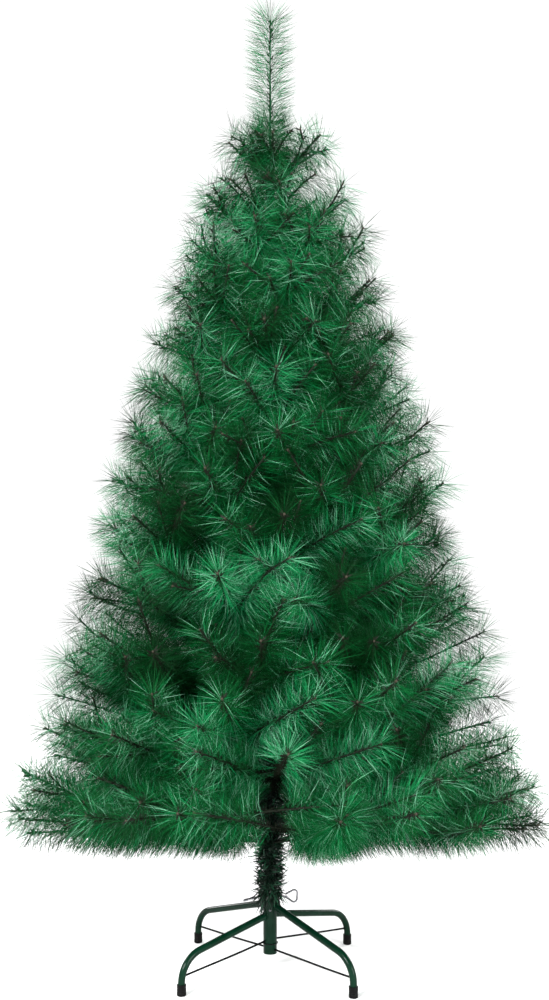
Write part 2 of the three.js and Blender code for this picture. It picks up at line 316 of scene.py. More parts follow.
class Shader:
    """A material under construction: a Principled surface and the nodes that feed it."""

    def __init__(self, name: str) -> None:
        """A new material of the given name with one Principled surface."""
        self.material = bpy.data.materials.new(name)
        self.material.use_nodes = True
        self.tree = self.material.node_tree
        self.surface = self.tree.nodes["Principled BSDF"]

    def set(self, **values: float | tuple[float, ...]) -> None:
        """Plain values on the surface's own sockets.

        Args:
            **values: Socket names, with _ for a blank, and their values.
        """
        for socket, value in values.items():
            self.surface.inputs[socket.replace("_", " ")].default_value = value

    def node(self, kind: str, **inputs: float | tuple[float, ...]) -> bpy.types.Node:
        """A new node with some of its inputs set.

        Args:
            kind: The node's type.
            **inputs: Input names, with _ for a blank, and their values.

        Returns:
            The node.
        """
        made = self.tree.nodes.new(kind)
        for socket, value in inputs.items():
            made.inputs[socket.replace("_", " ")].default_value = value
        return made

    def link(self, source: bpy.types.NodeSocket, target: bpy.types.NodeSocket) -> None:
        """A wire from one socket to another."""
        self.tree.links.new(source, target)

    def noise(self, scale: float, detail: float,
              stretch: tuple[float, float, float] = (1.0, 1.0, 1.0)) -> bpy.types.NodeSocket:
        """A noise over the object's own coordinates.

        Args:
            scale: Features per metre.
            detail: How many finer octaves it holds.
            stretch: Factors on the coordinates, which draw the features out.

        Returns:
            The noise's value socket, from 0 to 1.
        """
        place = self.node("ShaderNodeTexCoord")
        mapping = self.node("ShaderNodeMapping", Scale=stretch)
        texture = self.node("ShaderNodeTexNoise", Scale=scale, Detail=detail)
        self.link(place.outputs["Object"], mapping.inputs["Vector"])
        self.link(mapping.outputs["Vector"], texture.inputs["Vector"])
        return texture.outputs["Fac"]

    def shade(self, value: bpy.types.NodeSocket, stops: Sequence[tuple[float, tuple]]) -> None:
        """A colour ramp from a value to the surface's base colour.

        Args:
            value: The socket that the ramp reads.
            stops: Positions and colours, in order.
        """
        ramp = self.node("ShaderNodeValToRGB")
        elements = ramp.color_ramp.elements
        while len(elements) < len(stops):
            elements.new(0.5)
        for element, (position, colour) in zip(elements, stops):
            element.position = position
            element.color = (*colour, 1.0)
        self.link(value, ramp.inputs["Fac"])
        self.link(ramp.outputs["Color"], self.surface.inputs["Base Color"])

    def rough(self, value: bpy.types.NodeSocket, low: float, high: float) -> None:
        """A roughness that runs between two levels with a value.

        A noise seldom leaves the range from 0.3 to 0.7, so that range is spread over the levels.

        Args:
            value: The socket that it follows, from 0 to 1.
            low: The roughness at 0.3.
            high: The roughness at 0.7.
        """
        span = self.node("ShaderNodeMapRange", From_Min=0.3, From_Max=0.7, To_Min=low, To_Max=high)
        self.link(value, span.inputs["Value"])
        self.link(span.outputs["Result"], self.surface.inputs["Roughness"])

    def bump(self, value: bpy.types.NodeSocket, depth: float, strength: float) -> None:
        """A relief from a value.

        Args:
            value: The height, from 0 to 1.
            depth: The height that 1 stands for.
            strength: How much of it shows.
        """
        relief = self.node("ShaderNodeBump", Strength=strength, Distance=depth)
        self.link(value, relief.inputs["Height"])
        self.link(relief.outputs["Normal"], self.surface.inputs["Normal"])


@dataclass(frozen=True)
class PlainFinish:
    """One even colour, for pieces of tiny faces that are dealt out in several tones.

    Attributes:
        name: The material's name.
        colour: The base colour, linear.
        roughness: How dull it is.
        specular: The strength of its reflections.
    """

    name: str
    colour: tuple[float, float, float]
    roughness: float
    specular: float

    def material(self) -> bpy.types.Material:
        """The finish as a Blender material."""
        shader = Shader(self.name)
        shader.set(Base_Color=(*self.colour, 1.0), Roughness=self.roughness,
                   Specular_IOR_Level=self.specular)
        return shader.material


@dataclass(frozen=True)
class EnamelFinish:
    """Stoved paint on steel: slow clouds of tone, an orange-peel skin and rubbed patches.

    Attributes:
        name: The material's name.
        dark: The deeper tone, linear.
        light: The lighter tone, linear.
        roughness: The roughness of sound paint and of rubbed paint.
        coat: How much clear gloss lies over it.
        coat_roughness: How dull that gloss is.
        specular: The strength of its reflections.
        cloud_scale: Clouds of tone a metre.
        patch_scale: Rubbed patches a metre.
        peel_scale: Dimples of the orange peel a metre.
        peel_depth: How deep the dimples are.
    """

    name: str
    dark: tuple[float, float, float]
    light: tuple[float, float, float]
    roughness: tuple[float, float] = (0.15, 0.30)
    coat: float = 0.08
    coat_roughness: float = 0.06
    specular: float = 0.06
    cloud_scale: float = 38.0
    patch_scale: float = 90.0
    peel_scale: float = 900.0
    peel_depth: float = 0.12 * MM

    def material(self) -> bpy.types.Material:
        """The finish as a Blender material."""
        shader = Shader(self.name)
        shader.set(Coat_Weight=self.coat, Coat_Roughness=self.coat_roughness,
                   Specular_IOR_Level=self.specular)
        clouds = shader.noise(self.cloud_scale, detail=5.0)
        shader.shade(clouds, [(0.36, self.dark), (0.64, self.light)])
        patches = shader.noise(self.patch_scale, detail=6.0, stretch=(1.0, 1.0, 0.4))
        shader.rough(patches, *self.roughness)
        shader.bump(shader.noise(self.peel_scale, detail=2.0), self.peel_depth, strength=0.35)
        return shader.material


@dataclass(frozen=True)
class MouldedFinish:
    """Dark moulded plastic with a fine spark-eroded grain and dusty scuffs.

    Attributes:
        name: The material's name.
        dark: The plastic's own tone, linear.
        scuffed: The tone of its scuffs, linear.
        roughness: The roughness of clean plastic and of scuffed plastic.
        specular: The strength of its reflections.
        scuff_scale: Scuffs a metre.
        dull_scale: Dull patches a metre.
        grain_scale: Grains a metre.
        grain_depth: How deep the grain is.
    """

    name: str
    dark: tuple[float, float, float]
    scuffed: tuple[float, float, float]
    roughness: tuple[float, float] = (0.42, 0.68)
    specular: float = 0.08
    scuff_scale: float = 210.0
    dull_scale: float = 160.0
    grain_scale: float = 2400.0
    grain_depth: float = 0.08 * MM

    def material(self) -> bpy.types.Material:
        """The finish as a Blender material."""
        shader = Shader(self.name)
        shader.set(Specular_IOR_Level=self.specular)
        scuffs = shader.noise(self.scuff_scale, detail=6.0)
        shader.shade(scuffs, [(0.5, self.dark), (0.74, self.scuffed)])
        shader.rough(shader.noise(self.dull_scale, detail=4.0), *self.roughness)
        shader.bump(shader.noise(self.grain_scale, detail=3.0), self.grain_depth, strength=0.5)
        return shader.material


@dataclass(frozen=True)
class PlatedFinish:
    """Bright plating with fine drawing marks and a faint bloom.

    Attributes:
        name: The material's name.
        bright: The clean metal, linear.
        bloomed: The metal under the bloom, linear.
        roughness: The roughness at its clearest and at its dullest.
        bloom_scale: Patches of bloom a metre.
        dull_scale: Dull patches a metre.
        line_scale: Drawing marks a metre.
        line_depth: How deep the marks are.
    """

    name: str
    bright: tuple[float, float, float]
    bloomed: tuple[float, float, float]
    roughness: tuple[float, float] = (0.14, 0.32)
    bloom_scale: float = 240.0
    dull_scale: float = 420.0
    line_scale: float = 1500.0
    line_depth: float = 0.03 * MM

    def material(self) -> bpy.types.Material:
        """The finish as a Blender material."""
        shader = Shader(self.name)
        shader.set(Metallic=1.0)
        bloom = shader.noise(self.bloom_scale, detail=4.0)
        shader.shade(bloom, [(0.4, self.bloomed), (0.62, self.bright)])
        shader.rough(shader.noise(self.dull_scale, detail=5.0), *self.roughness)
        shader.bump(shader.noise(self.line_scale, detail=2.0), self.line_depth, strength=0.3)
        return shader.material


@dataclass(frozen=True)
class BackdropFinish:
    """The pale floor: matt, with a barely seen cloudiness.

    Attributes:
        name: The material's name.
        pale: The floor's tone, linear.
        cloud: The tone of its clouds, as a share of that.
        cloud_scale: Clouds a metre.
    """

    name: str
    pale: float
    cloud: float = 0.985
    cloud_scale: float = 1.5

    def material(self) -> bpy.types.Material:
        """The finish as a Blender material."""
        shader = Shader(self.name)
        faint = self.cloud * self.pale
        shader.set(Roughness=0.9, Specular_IOR_Level=0.1)
        clouds = shader.noise(self.cloud_scale, detail=2.0)
        shader.shade(clouds, [(0.3, (faint,) * 3), (0.7, (self.pale,) * 3)])
        return shader.material


class Tone(Enum):
    """The greens that the sprays of needles are dealt out in, from painted shade to the pale painted
    highlight.
    """

    # A darker copy of the needles' one green: painted shade, taken by shaded sprays and by some at
    # random.
    DEEP = PlainFinish("needle_deep_green", (0.0001, 0.0175, 0.0029), 0.50, 0.05)
    MID = PlainFinish("needle_mid_green", (0.0003, 0.0610, 0.0120), 0.48, 0.06)
    # A lighter copy: painted light, taken by sprays that lie in the light and by some at random.
    BRIGHT = PlainFinish("needle_bright_green", (0.0030, 0.1500, 0.0450), 0.44, 0.13)
    # A pale copy: the painted highlight of the glints, and of needles that stray up from the bright
    # tone.
    PALE = PlainFinish("needle_pale_green", (0.1400, 0.3900, 0.2400), 0.36, 0.40)


BOUGH_WIRE = PlainFinish("bough_wire_brown_green", (0.0040, 0.0062, 0.0028), 0.60, 0.12)
CUT_WIRE = PlainFinish("cut_wire_end_brown", (0.030, 0.026, 0.016), 0.60, 0.20)
TINSEL_DARK = PlainFinish("tinsel_dark_green", (0.0010, 0.0090, 0.0038), 0.40, 0.30)
# The lit tinsel tone is a painted highlight, dealt to strips at random.
TINSEL_LIT_PAINTED_HIGHLIGHT = PlainFinish("tinsel_lit_green", (0.0200, 0.0950, 0.0480), 0.34, 0.40)
POLE_ENAMEL = EnamelFinish(
    "pole_dark_enamel", dark=(0.0020, 0.0080, 0.0045), light=(0.0038, 0.0130, 0.0075)
)
STAND_ENAMEL = EnamelFinish(
    "stand_green_enamel", dark=(0.0008, 0.0130, 0.0056), light=(0.0018, 0.0190, 0.0092)
)
STAY_ENAMEL = EnamelFinish(
    "stay_black_enamel", dark=(0.0010, 0.0013, 0.0012), light=(0.0025, 0.0028, 0.0026)
)
HUB_PLASTIC = MouldedFinish(
    "hub_dark_plastic", dark=(0.0020, 0.0070, 0.0040), scuffed=(0.0050, 0.0120, 0.0080)
)
FOOT_PLASTIC = MouldedFinish(
    "foot_black_plastic", dark=(0.0020, 0.0020, 0.0020), scuffed=(0.0070, 0.0072, 0.0070)
)
BOLT_PLATING = PlatedFinish(
    "bolt_bright_plating", bright=(0.30, 0.30, 0.32), bloomed=(0.10, 0.10, 0.11)
)
FLOOR_PAINT = BackdropFinish("floor_pale_paint", pale=0.92)


# ---------- Pieces ----------


def hand_over(surface: Surface, name: str, material: bpy.types.Material, slot: str,
              nodes: Sequence[str], smooth: bool = True) -> None:
    """A surface becomes a piece that rides on the body, logs its slot and stands for its solids.

    Args:
        surface: The piece's surface.
        name: The piece's name.
        material: Its material.
        slot: The name of its material slot, which is only logged.
        nodes: The solids that it replaces.
        smooth: Whether its faces are shaded smooth.
    """
    piece = surface.as_object(name, material, smooth)
    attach(piece, BODY)
    if nodes:
        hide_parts(*nodes)
    faces = len(piece.data.polygons)
    LOG.info("%s: %d faces, slot %s, stands for %d solids", piece.name, faces, slot, len(nodes))


def corners(node: str) -> tuple[np.ndarray, np.ndarray]:
    """The lowest and the highest corner of a solid, as arrays."""
    low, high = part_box(node)
    return np.array(low), np.array(high)


@dataclass(frozen=True)
class Zone:
    """A band of the crown, which stands for some layers of needle solids.

    Attributes:
        name: The band's name, which its pieces carry.
        layers: The numbers of the layers in it.
        extras: Other solids in it.
    """

    name: str
    layers: tuple[int, ...]
    extras: tuple[str, ...] = ()

    def nodes(self) -> list[str]:
        """The needle solids that the band stands for, in order."""
        starts = tuple(f"needles_{layer}_" for layer in self.layers)
        return sorted(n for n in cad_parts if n.startswith(starts)) + list(self.extras)

    def bough_nodes(self) -> list[str]:
        """The bough solids that the band's wires stand for, in order."""
        starts = tuple(f"bough_{layer}_" for layer in self.layers)
        return sorted(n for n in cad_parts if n.startswith(starts))


class Outline:
    """The crown's outline: how far it reaches from the pole at each height.

    Each layer of solids gives one point, its furthest reach, a little under its middle, and
    the reach between them runs straight.

    Attributes:
        foot: The height of the crown's underside.
        widest: The height at which the lowest layer reaches furthest.
        top: The height of the highest layer's upper side.
        heights: The heights at which the reach is known, from the foot to the top.
        reaches: The reach at each of them.
    """

    LAYERS = 7
    WIDEST_SHARE = 0.42
    TOP_REACH = 0.086
    FOOT_SHARE = 0.92

    def __init__(self) -> None:
        """Reads the layers' boxes."""
        lows = []
        heights = []
        reaches = []
        for layer in range(1, self.LAYERS + 1):
            boxes = [corners(node) for node in Zone("", (layer,)).nodes()]
            low = min(box[0][2] for box in boxes)
            high = max(box[1][2] for box in boxes)
            lows.append(low)
            heights.append(low + self.WIDEST_SHARE * (high - low))
            reaches.append(max(np.abs(np.array(box)[:, :2]).max() for box in boxes))
        self.foot = lows[0]
        self.widest = heights[0]
        self.top = high
        self.heights = np.array([self.foot] + heights + [high])
        self.reaches = np.array([self.FOOT_SHARE * reaches[0]] + reaches + [self.TOP_REACH])

    def reach(self, height: np.ndarray) -> np.ndarray:
        """How far the crown reaches from the pole at a height."""
        return np.interp(height, self.heights, self.reaches)


@dataclass
class Sprays:
    """Wires that carry needles, each with its path from root to tip.

    Attributes:
        paths: Wire, step and axis.
        bare: The share of each wire that carries no needles, from its root.
        thickness: The radius of each wire at its root.
        density: Needles a metre on each wire.
        width: How wide the needles of each are, as a share of the full width.
        shade: How shaded each lies, from below 0 in full light, past 0 at the outline, to 1.
    """

    paths: np.ndarray
    bare: np.ndarray
    thickness: np.ndarray
    density: np.ndarray
    width: np.ndarray
    shade: np.ndarray

    @classmethod
    def joined(cls, groups: Sequence["Sprays"]) -> "Sprays":
        """Several sets of sprays as one."""
        names = [each.name for each in fields(cls)]
        return cls(*(np.concatenate([getattr(group, name) for group in groups]) for name in names))

    def picked(self, chosen: np.ndarray) -> "Sprays":
        """The wires for which an array of truths holds."""
        return Sprays(*(getattr(self, each.name)[chosen] for each in fields(self)))

    def lengths(self) -> np.ndarray:
        """The length of each wire."""
        return np.linalg.norm(np.diff(self.paths, axis=1), axis=-1).sum(axis=1)

    def at(self, wire: np.ndarray, share: np.ndarray) -> tuple[np.ndarray, np.ndarray]:
        """Points on the wires and the directions in which they run there.

        Both run straight between the steps of a path.

        Args:
            wire: The number of a wire for each point.
            share: How far along it each point is, from 0 to 1.

        Returns:
            The points and the unit directions.
        """
        last = self.paths.shape[1] - 1
        spot = np.clip(share, 0.0, 1.0) * last
        step = np.minimum(spot.astype(int), last - 1)
        part = (spot - step)[:, None]
        tangents = np.gradient(self.paths, axis=1)
        points = (1 - part) * self.paths[wire, step] + part * self.paths[wire, step + 1]
        ways = (1 - part) * tangents[wire, step] + part * tangents[wire, step + 1]
        return points, unit(ways)


@dataclass(frozen=True)
class TwigRule:
    """Where one kind of twig leaves its bough, and where its tip ends up.

    Attributes:
        hands: The sides of the bough that have one, -1 and 1.
        root: Where along the bough it starts, as a share, least and most.
        fan: How far it turns aside, as a share of the angle between two boughs.
        lift: How far above the bough's tip it ends.
        shortfall: How far it stops inside the outline, as a share of the reach there.
        shade: How shaded it counts as lying, from 0 at the outline to 1.
        highest: How far up the crown it still grows, from 0 to 1.
        lowest: How far up the crown the boughs at the front start to have it, from 0 to 1.
    """

    hands: tuple[float, ...]
    root: tuple[float, float]
    fan: tuple[float, float]
    lift: tuple[float, float]
    shortfall: tuple[float, float]
    shade: float
    highest: float = 1.0
    lowest: float = 0.0


class TwigKind(Enum):
    """The kinds of twig on a bough."""

    OUTER = TwigRule(
        hands=(-1.0, 1.0), root=(0.36, 0.60), fan=(0.34, 0.52), lift=(-40 * MM, 40 * MM),
        shortfall=(-0.02, 0.10), shade=0.05,
    )
    RAISED = TwigRule(
        hands=(1.0,), root=(0.34, 0.60), fan=(0.10, 0.26), lift=(26 * MM, 78 * MM),
        shortfall=(0.00, 0.18), shade=0.15, highest=0.86,
    )
    HANGING = TwigRule(
        hands=(-1.0,), root=(0.34, 0.58), fan=(0.12, 0.28), lift=(-62 * MM, -22 * MM),
        shortfall=(-0.02, 0.10), shade=0.15, highest=0.93,
    )
    INNER = TwigRule(
        hands=(-1.0, 1.0), root=(0.12, 0.32), fan=(0.34, 0.52), lift=(-20 * MM, 80 * MM),
        shortfall=(0.20, 0.50), shade=0.6, highest=0.86, lowest=0.1,
    )


@dataclass(frozen=True)
class WireBends:
    """How unevenly the wires are bent: the ranges that the seeded draws are taken from.

    Attributes:
        spacing: How far a bough strays from its place in the ring, as a share of a whole turn.
        tip: How far the tip of a bough strays up or down, at the foot of the crown.
        shortfall: How far inside the outline a bough ends, least and most.
        bough_calming: How much less the boughs' tips stray at the top of the crown, as a share.
        twig_calming: How much less the twigs' tips are lifted there, as a share.
        bow: How far a bough hangs under the line to its tip, as a share of its reach.
        sway: How far a bough turns aside by its tip, in radians.
        elbow_at: How far along a twig's span its elbow lies, as a share.
        elbow: How far the elbow strays, as a share of the span.
        sag: How far it sags, least and most, as a share of the span.
        least_slack: The share of bow and sag that the lowest whorl has.
        full_slack: How far up the crown the whorls have all of it, from 0 to 1.
        kink: The size of the slow waves along every wire.
        waves: How many half waves a wire holds, slow and fast.
        fast_share: The size of the fast waves, as a share of the slow ones'.
    """

    spacing: float = 0.02
    tip: float = 18 * MM
    shortfall: tuple[float, float] = (-6 * MM, 16 * MM)
    bough_calming: float = 0.6
    twig_calming: float = 0.7
    bow: tuple[float, float] = (-0.05, 0.30)
    sway: float = 0.06
    elbow_at: float = 0.45
    elbow: float = 0.09
    sag: tuple[float, float] = (0.0, 0.16)
    least_slack: float = 0.25
    full_slack: float = 0.2
    kink: float = 3.0 * MM
    waves: tuple[float, float] = (1.7, 4.3)
    fast_share: float = 0.4

    def slack(self, share: float) -> float:
        """The share of bow and sag that the wires of a whorl have."""
        return self.least_slack + (1 - self.least_slack) * min(1.0, share / self.full_slack)


@dataclass
class Crown:
    """The boughs and twigs, grown as whorls round the pole by a seeded rule.

    Each whorl is a hub on the pole with a ring of boughs that rise outwards to the outline.
    Each bough carries twigs of several kinds, whose tips share the outline with its own or
    fill the space behind them. How far up the crown a whorl is, its share, runs from 0 to 1.

    Attributes:
        outline: The crown's outline.
        rng: The source of the random draws.
        bends: How unevenly the wires are bent.
        turns: Where one bough of each whorl points, in degrees from the front.
        boughs_at_foot: Boughs in the lowest whorl.
        boughs_at_top: Boughs in the highest.
        boughs_power: The power of the share with which their number changes.
        rise_at_foot: How steeply the lowest boughs rise, in degrees.
        rise_at_top: How steeply the highest rise.
        rise_power: The power of the share with which the rise grows.
        overhang: How far the needles stand out past the tips of the wires.
        right_swell: How much further the crown reaches on the right.
        flattening: How much less far it reaches at the front and at the back.
        front_lift: How much higher the lowest tips lie at the front than at the sides.
        lift_share: The share of that lift which the tips of the lowest boughs have.
        lowest_tip: How far above the crown's underside the lowest tips at the sides lie.
        front_gap: How far to either side of the middle of the front the lower twigs' tips keep.
        gap_sine: The greatest sine of the angle from the front that the gap may take.
        gap_top: The height up to which it runs.
        parting_middle: How far to the right the middle of the parting is, where no needle
            crosses in front of the pole.
        parting: Half of its width.
        parting_ragged: The least and greatest factor on that, which make its edge ragged.
        parting_from: Where it starts, in front of the pole's axis, along Y.
        parting_top: The height up to which it runs.
        first_tip_above: How far above the outline's widest height the lowest boughs' tips are.
        last_tip_below: How far below its top the highest boughs' tips are.
        steps: Points on a path.
        root_radius: How far from the pole's axis a bough starts.
        bough_thickness: The radius of a bough at its root.
        twig_thickness: The radius of a twig at its root.
        bare_shares: The shares between which the bare run of the front boughs changes.
        bare_runs: Its lengths at those.
        bare_limits: The least and the greatest bare share of a bough.
        twig_bare: The bare share of a twig.
        density: Needles a metre on the wires of the lowest whorls.
        thinning: Shares, and the factor on that density at each.
        leader_density: Needles a metre on the leader.
        leader_width: How wide they are, as a share of the full width.
        leader_radius: The radius of the leader's wire.
        leader_shade: How shaded the leader lies, which is less than the outline.
        wrap_length: The length of pole that needles wrap inside the crown.
        wrap_above: How far that runs up into the leader.
        wrap_density: Needles a metre in it.
        wrap_shade: How shaded it lies.
        foot_shade: How much more shaded the lowest sprays lie.
        shaded_share: The share up to which they do.
    """

    outline: Outline
    rng: np.random.Generator
    bends: WireBends = WireBends()
    turns: tuple[float, ...] = (-22, 20, 5, 27, -7, 28, 2, -24, 7, 0, -8, 14, -21, 30, 10)
    boughs_at_foot: float = 8.0
    boughs_at_top: float = 6.0
    boughs_power: float = 1.1
    rise_at_foot: float = 5.0
    rise_at_top: float = 42.0
    rise_power: float = 0.6
    overhang: float = 26 * MM
    right_swell: float = 27 * MM
    flattening: float = 24 * MM
    front_lift: float = 117 * MM
    lift_share: float = 0.85
    lowest_tip: float = -6 * MM
    front_gap: float = 112 * MM
    gap_sine: float = 0.9
    gap_top: float = 0.47
    parting_middle: float = 7 * MM
    parting: float = 27 * MM
    parting_ragged: tuple[float, float] = (0.7, 1.2)
    parting_from: float = -20 * MM
    parting_top: float = 0.445
    first_tip_above: float = -32 * MM
    last_tip_below: float = 44 * MM
    steps: int = 15
    root_radius: float = 8 * MM
    bough_thickness: float = 2.8 * MM
    twig_thickness: float = 2.3 * MM
    bare_shares: tuple[float, float] = (0.0, 0.25)
    bare_runs: tuple[float, float] = (115 * MM, 45 * MM)
    bare_limits: tuple[float, float] = (0.1, 0.35)
    twig_bare: float = 0.04
    density: float = 3900.0
    thinning: tuple[tuple[float, ...], tuple[float, ...]] = ((0.35, 0.7, 1.0), (1.0, 0.78, 0.62))
    leader_density: float = 5900.0
    leader_width: float = 0.92
    leader_radius: float = 2.9 * MM
    leader_shade: float = -0.8
    wrap_length: float = 0.75
    wrap_above: float = 20 * MM
    wrap_density: float = 9000.0
    wrap_shade: float = 0.6
    foot_shade: float = 0.35
    shaded_share: float = 0.1

    def whorl_share(self) -> np.ndarray:
        """How far up the crown each whorl is, from 0 to 1."""
        return np.linspace(0.0, 1.0, len(self.turns))

    def tip_height(self, share: np.ndarray) -> np.ndarray:
        """The height of a whorl's tips."""
        first = self.outline.widest + self.first_tip_above
        return first + share * (self.outline.top - self.last_tip_below - first)

    def full_reach(self, tip: np.ndarray, azimuth: np.ndarray) -> np.ndarray:
        """How far out the tip of a wire may lie, with the swell and the flattening.

        Args:
            tip: The tips' heights.
            azimuth: Where they point.

        Returns:
            Their greatest distances from the pole.
        """
        swell = self.right_swell * np.maximum(np.cos(azimuth), 0.0)
        flattening = self.flattening * np.abs(np.sin(azimuth))
        return self.outline.reach(tip) - self.overhang + swell - flattening

    def rise(self, share: np.ndarray) -> np.ndarray:
        """The rise of a whorl's boughs, in radians, which grows quickly at first."""
        steeper = self.rise_at_top - self.rise_at_foot
        return np.radians(self.rise_at_foot + steeper * share**self.rise_power)

    def hub_height(self, share: np.ndarray) -> np.ndarray:
        """Where on the pole a whorl's boughs start."""
        height = self.tip_height(share)
        return height - (self.outline.reach(height) - self.overhang) * np.tan(self.rise(share))

    def frontness(self, azimuth: np.ndarray) -> np.ndarray:
        """How far an angle points to the front: 1 at the front, 0 at the sides and behind."""
        return np.maximum(-np.sin(azimuth), 0.0)

    def aside(self, azimuth: np.ndarray) -> np.ndarray:
        """How far an angle lies from the front, from -pi to pi."""
        return np.mod(azimuth + 1.5 * math.pi, 2 * math.pi) - math.pi

    def beside_gap(self, azimuth: np.ndarray, reach: np.ndarray) -> np.ndarray:
        """Angles with those that fall in the gap at the front moved to its nearer side.

        Args:
            azimuth: Where each tip would point.
            reach: How far from the pole each tip lies.

        Returns:
            Where each tip points, never nearer the middle of the front than the gap's side.
        """
        aside = self.aside(azimuth)
        least = np.arcsin(np.minimum(self.front_gap / reach, self.gap_sine))
        return np.sign(aside) * np.maximum(np.abs(aside), least) - math.pi / 2

    def parted(self, places: np.ndarray) -> np.ndarray:
        """Whether each place lies in the parting, whose edge is ragged."""
        half = self.parting * self.rng.uniform(*self.parting_ragged, len(places))
        aside = np.abs(places[:, 0] - self.parting_middle)
        in_front = places[:, 1] < self.parting_from
        return (aside < half) & in_front & (places[:, 2] < self.parting_top)

    def kinks(self, count: int, s: np.ndarray) -> np.ndarray:
        """The unevenness of bent wire: two waves along it, which are nought at its root.

        Args:
            count: How many wires.
            s: The share of the wire at each step.

        Returns:
            Offsets for each wire, step and axis.
        """
        slow, fast = (
            self.rng.uniform(-1, 1, (count, 1, 3)) * np.sin(math.pi * wave * s)[None, :, None]
            for wave in self.bends.waves
        )
        return self.bends.kink * (slow + self.bends.fast_share * fast)

    def boughs(self, share: float, turn: float, count: int) -> Sprays:
        """The main wires of one whorl.

        With s from 0 to 1, a wire's reach grows with s, it hangs under the line to its tip by
        bow s (1 - s) of its whole reach, and it sways sideways by sway s^2.

        Args:
            share: How far up the crown the whorl is.
            turn: Where its first bough points, in degrees from the front.
            count: How many boughs it has.

        Returns:
            The wires.
        """
        rng, bends = self.rng, self.bends
        spread = np.arange(count) / count + rng.uniform(-bends.spacing, bends.spacing, count)
        azimuth = np.radians(turn - 90.0) + 2 * math.pi * spread
        stray = (1 - bends.bough_calming * share) * rng.uniform(-bends.tip, bends.tip, count)
        tip = self.tip_height(share) + stray
        reach = self.full_reach(tip, azimuth) - rng.uniform(*bends.shortfall, count)
        if share == 0:
            tip = tip + self.lift_share * self.front_lift * self.frontness(azimuth)
        hub = float(self.hub_height(share))
        bow = bends.slack(share) * rng.uniform(*bends.bow, count)[:, None]
        sway = rng.uniform(-bends.sway, bends.sway, count)[:, None]
        s = np.linspace(0.0, 1.0, self.steps)[None, :]
        radius = self.root_radius + (reach[:, None] - self.root_radius) * s
        height = hub + (tip[:, None] - hub) * s - bow * reach[:, None] * s * (1 - s)
        paths = round_axis(azimuth[:, None] + sway * s**2, radius, height)
        paths = paths + self.kinks(count, s[0])
        run = np.interp(share, self.bare_shares, self.bare_runs) * self.frontness(azimuth)
        bare = np.clip(run / reach, *self.bare_limits)
        thickness = np.full(count, self.bough_thickness)
        density = np.full(count, self.density_at(share))
        shade = np.full(count, self.shade_at(share))
        return Sprays(paths, bare, thickness, density, np.ones(count), shade)

    def twigs(self, boughs: Sprays, rule: TwigRule, hand: float, share: float) -> Sprays:
        """One twig on the same side of each bough of a whorl.

        A twig is the curve (1 - t)^2 A + 2 t (1 - t) B + t^2 C, from its root A on the bough,
        where it sets out along the bough towards B, to its tip C near the outline.

        Args:
            boughs: The whorl's main wires.
            rule: The kind of twig.
            hand: -1 or 1, for the side of the bough.
            share: How far up the crown the whorl is.

        Returns:
            The twigs.
        """
        rng, bends = self.rng, self.bends
        step = 2 * math.pi / len(boughs.paths)
        if share < rule.lowest:
            aside = self.aside(np.arctan2(boughs.paths[:, -1, 1], boughs.paths[:, -1, 0]))
            boughs = boughs.picked(np.abs(aside) > step)
        count = len(boughs.paths)
        root, way = boughs.at(np.arange(count), rng.uniform(*rule.root, count))
        main_tip = boughs.paths[:, -1]
        azimuth = np.arctan2(main_tip[:, 1], main_tip[:, 0])
        azimuth = azimuth + hand * rng.uniform(*rule.fan, count) * step
        tip = main_tip[:, 2] + (1 - bends.twig_calming * share) * rng.uniform(*rule.lift, count)
        lowest = self.outline.foot + self.lowest_tip + self.front_lift * self.frontness(azimuth)
        tip = np.maximum(tip, lowest)
        reach = (1 - rng.uniform(*rule.shortfall, count)) * self.full_reach(tip, azimuth)
        azimuth = np.where(tip < self.gap_top, self.beside_gap(azimuth, reach), azimuth)
        end = round_axis(azimuth, reach, tip)
        span = np.linalg.norm(end - root, axis=-1, keepdims=True)
        stray = rng.uniform(-bends.elbow, bends.elbow, (count, 3)) * span
        elbow = root + bends.elbow_at * span * way + stray
        elbow = elbow - bends.slack(share) * rng.uniform(*bends.sag, (count, 1)) * span * UP
        t = np.linspace(0.0, 1.0, self.steps)[None, :, None]
        start, bend, stop = root[:, None], elbow[:, None], end[:, None]
        paths = (1 - t) ** 2 * start + 2 * t * (1 - t) * bend + t**2 * stop
        paths = paths + self.kinks(count, t[0, :, 0])
        bare = np.full(count, self.twig_bare)
        thickness = np.full(count, self.twig_thickness)
        density = np.full(count, self.density_at(share))
        shade = np.full(count, rule.shade + self.shade_at(share))
        return Sprays(paths, bare, thickness, density, np.ones(count), shade)

    def density_at(self, share: float) -> float:
        """Needles a metre on the wires of a whorl, which thin out towards the top."""
        return self.density * float(np.interp(share, *self.thinning))

    def shade_at(self, share: float) -> float:
        """How much more shaded the sprays of a whorl lie, at the foot of the crown."""
        return self.foot_shade if share < self.shaded_share else 0.0

    def upright(self, foot: float, top: float, density: float, width: float,
                shade: float) -> Sprays:
        """One wire that stands on the axis.

        Args:
            foot: The height of its lower end.
            top: The height of its tip.
            density: Its needles a metre.
            width: The share of the full width that they have.
            shade: How shaded it lies.

        Returns:
            The wire.
        """
        height = np.linspace(foot, top, self.steps)
        path = np.stack([0 * height, 0 * height, height], axis=1)
        one = np.ones(1)
        return Sprays(path[None], 0 * one, self.leader_radius * one, density * one, width * one,
                      shade * one)

    def leader(self) -> Sprays:
        """The upright wire at the top of the pole."""
        foot, top = corners("leader_needles")[0][2], corners("trunk_pole")[1][2]
        return self.upright(foot, top, self.leader_density, self.leader_width, self.leader_shade)

    def wrap(self) -> Sprays:
        """The needles that wrap the pole inside the crown."""
        top = corners("leader_needles")[0][2] + self.wrap_above
        return self.upright(top - self.wrap_length, top, self.wrap_density, 1.0, self.wrap_shade)

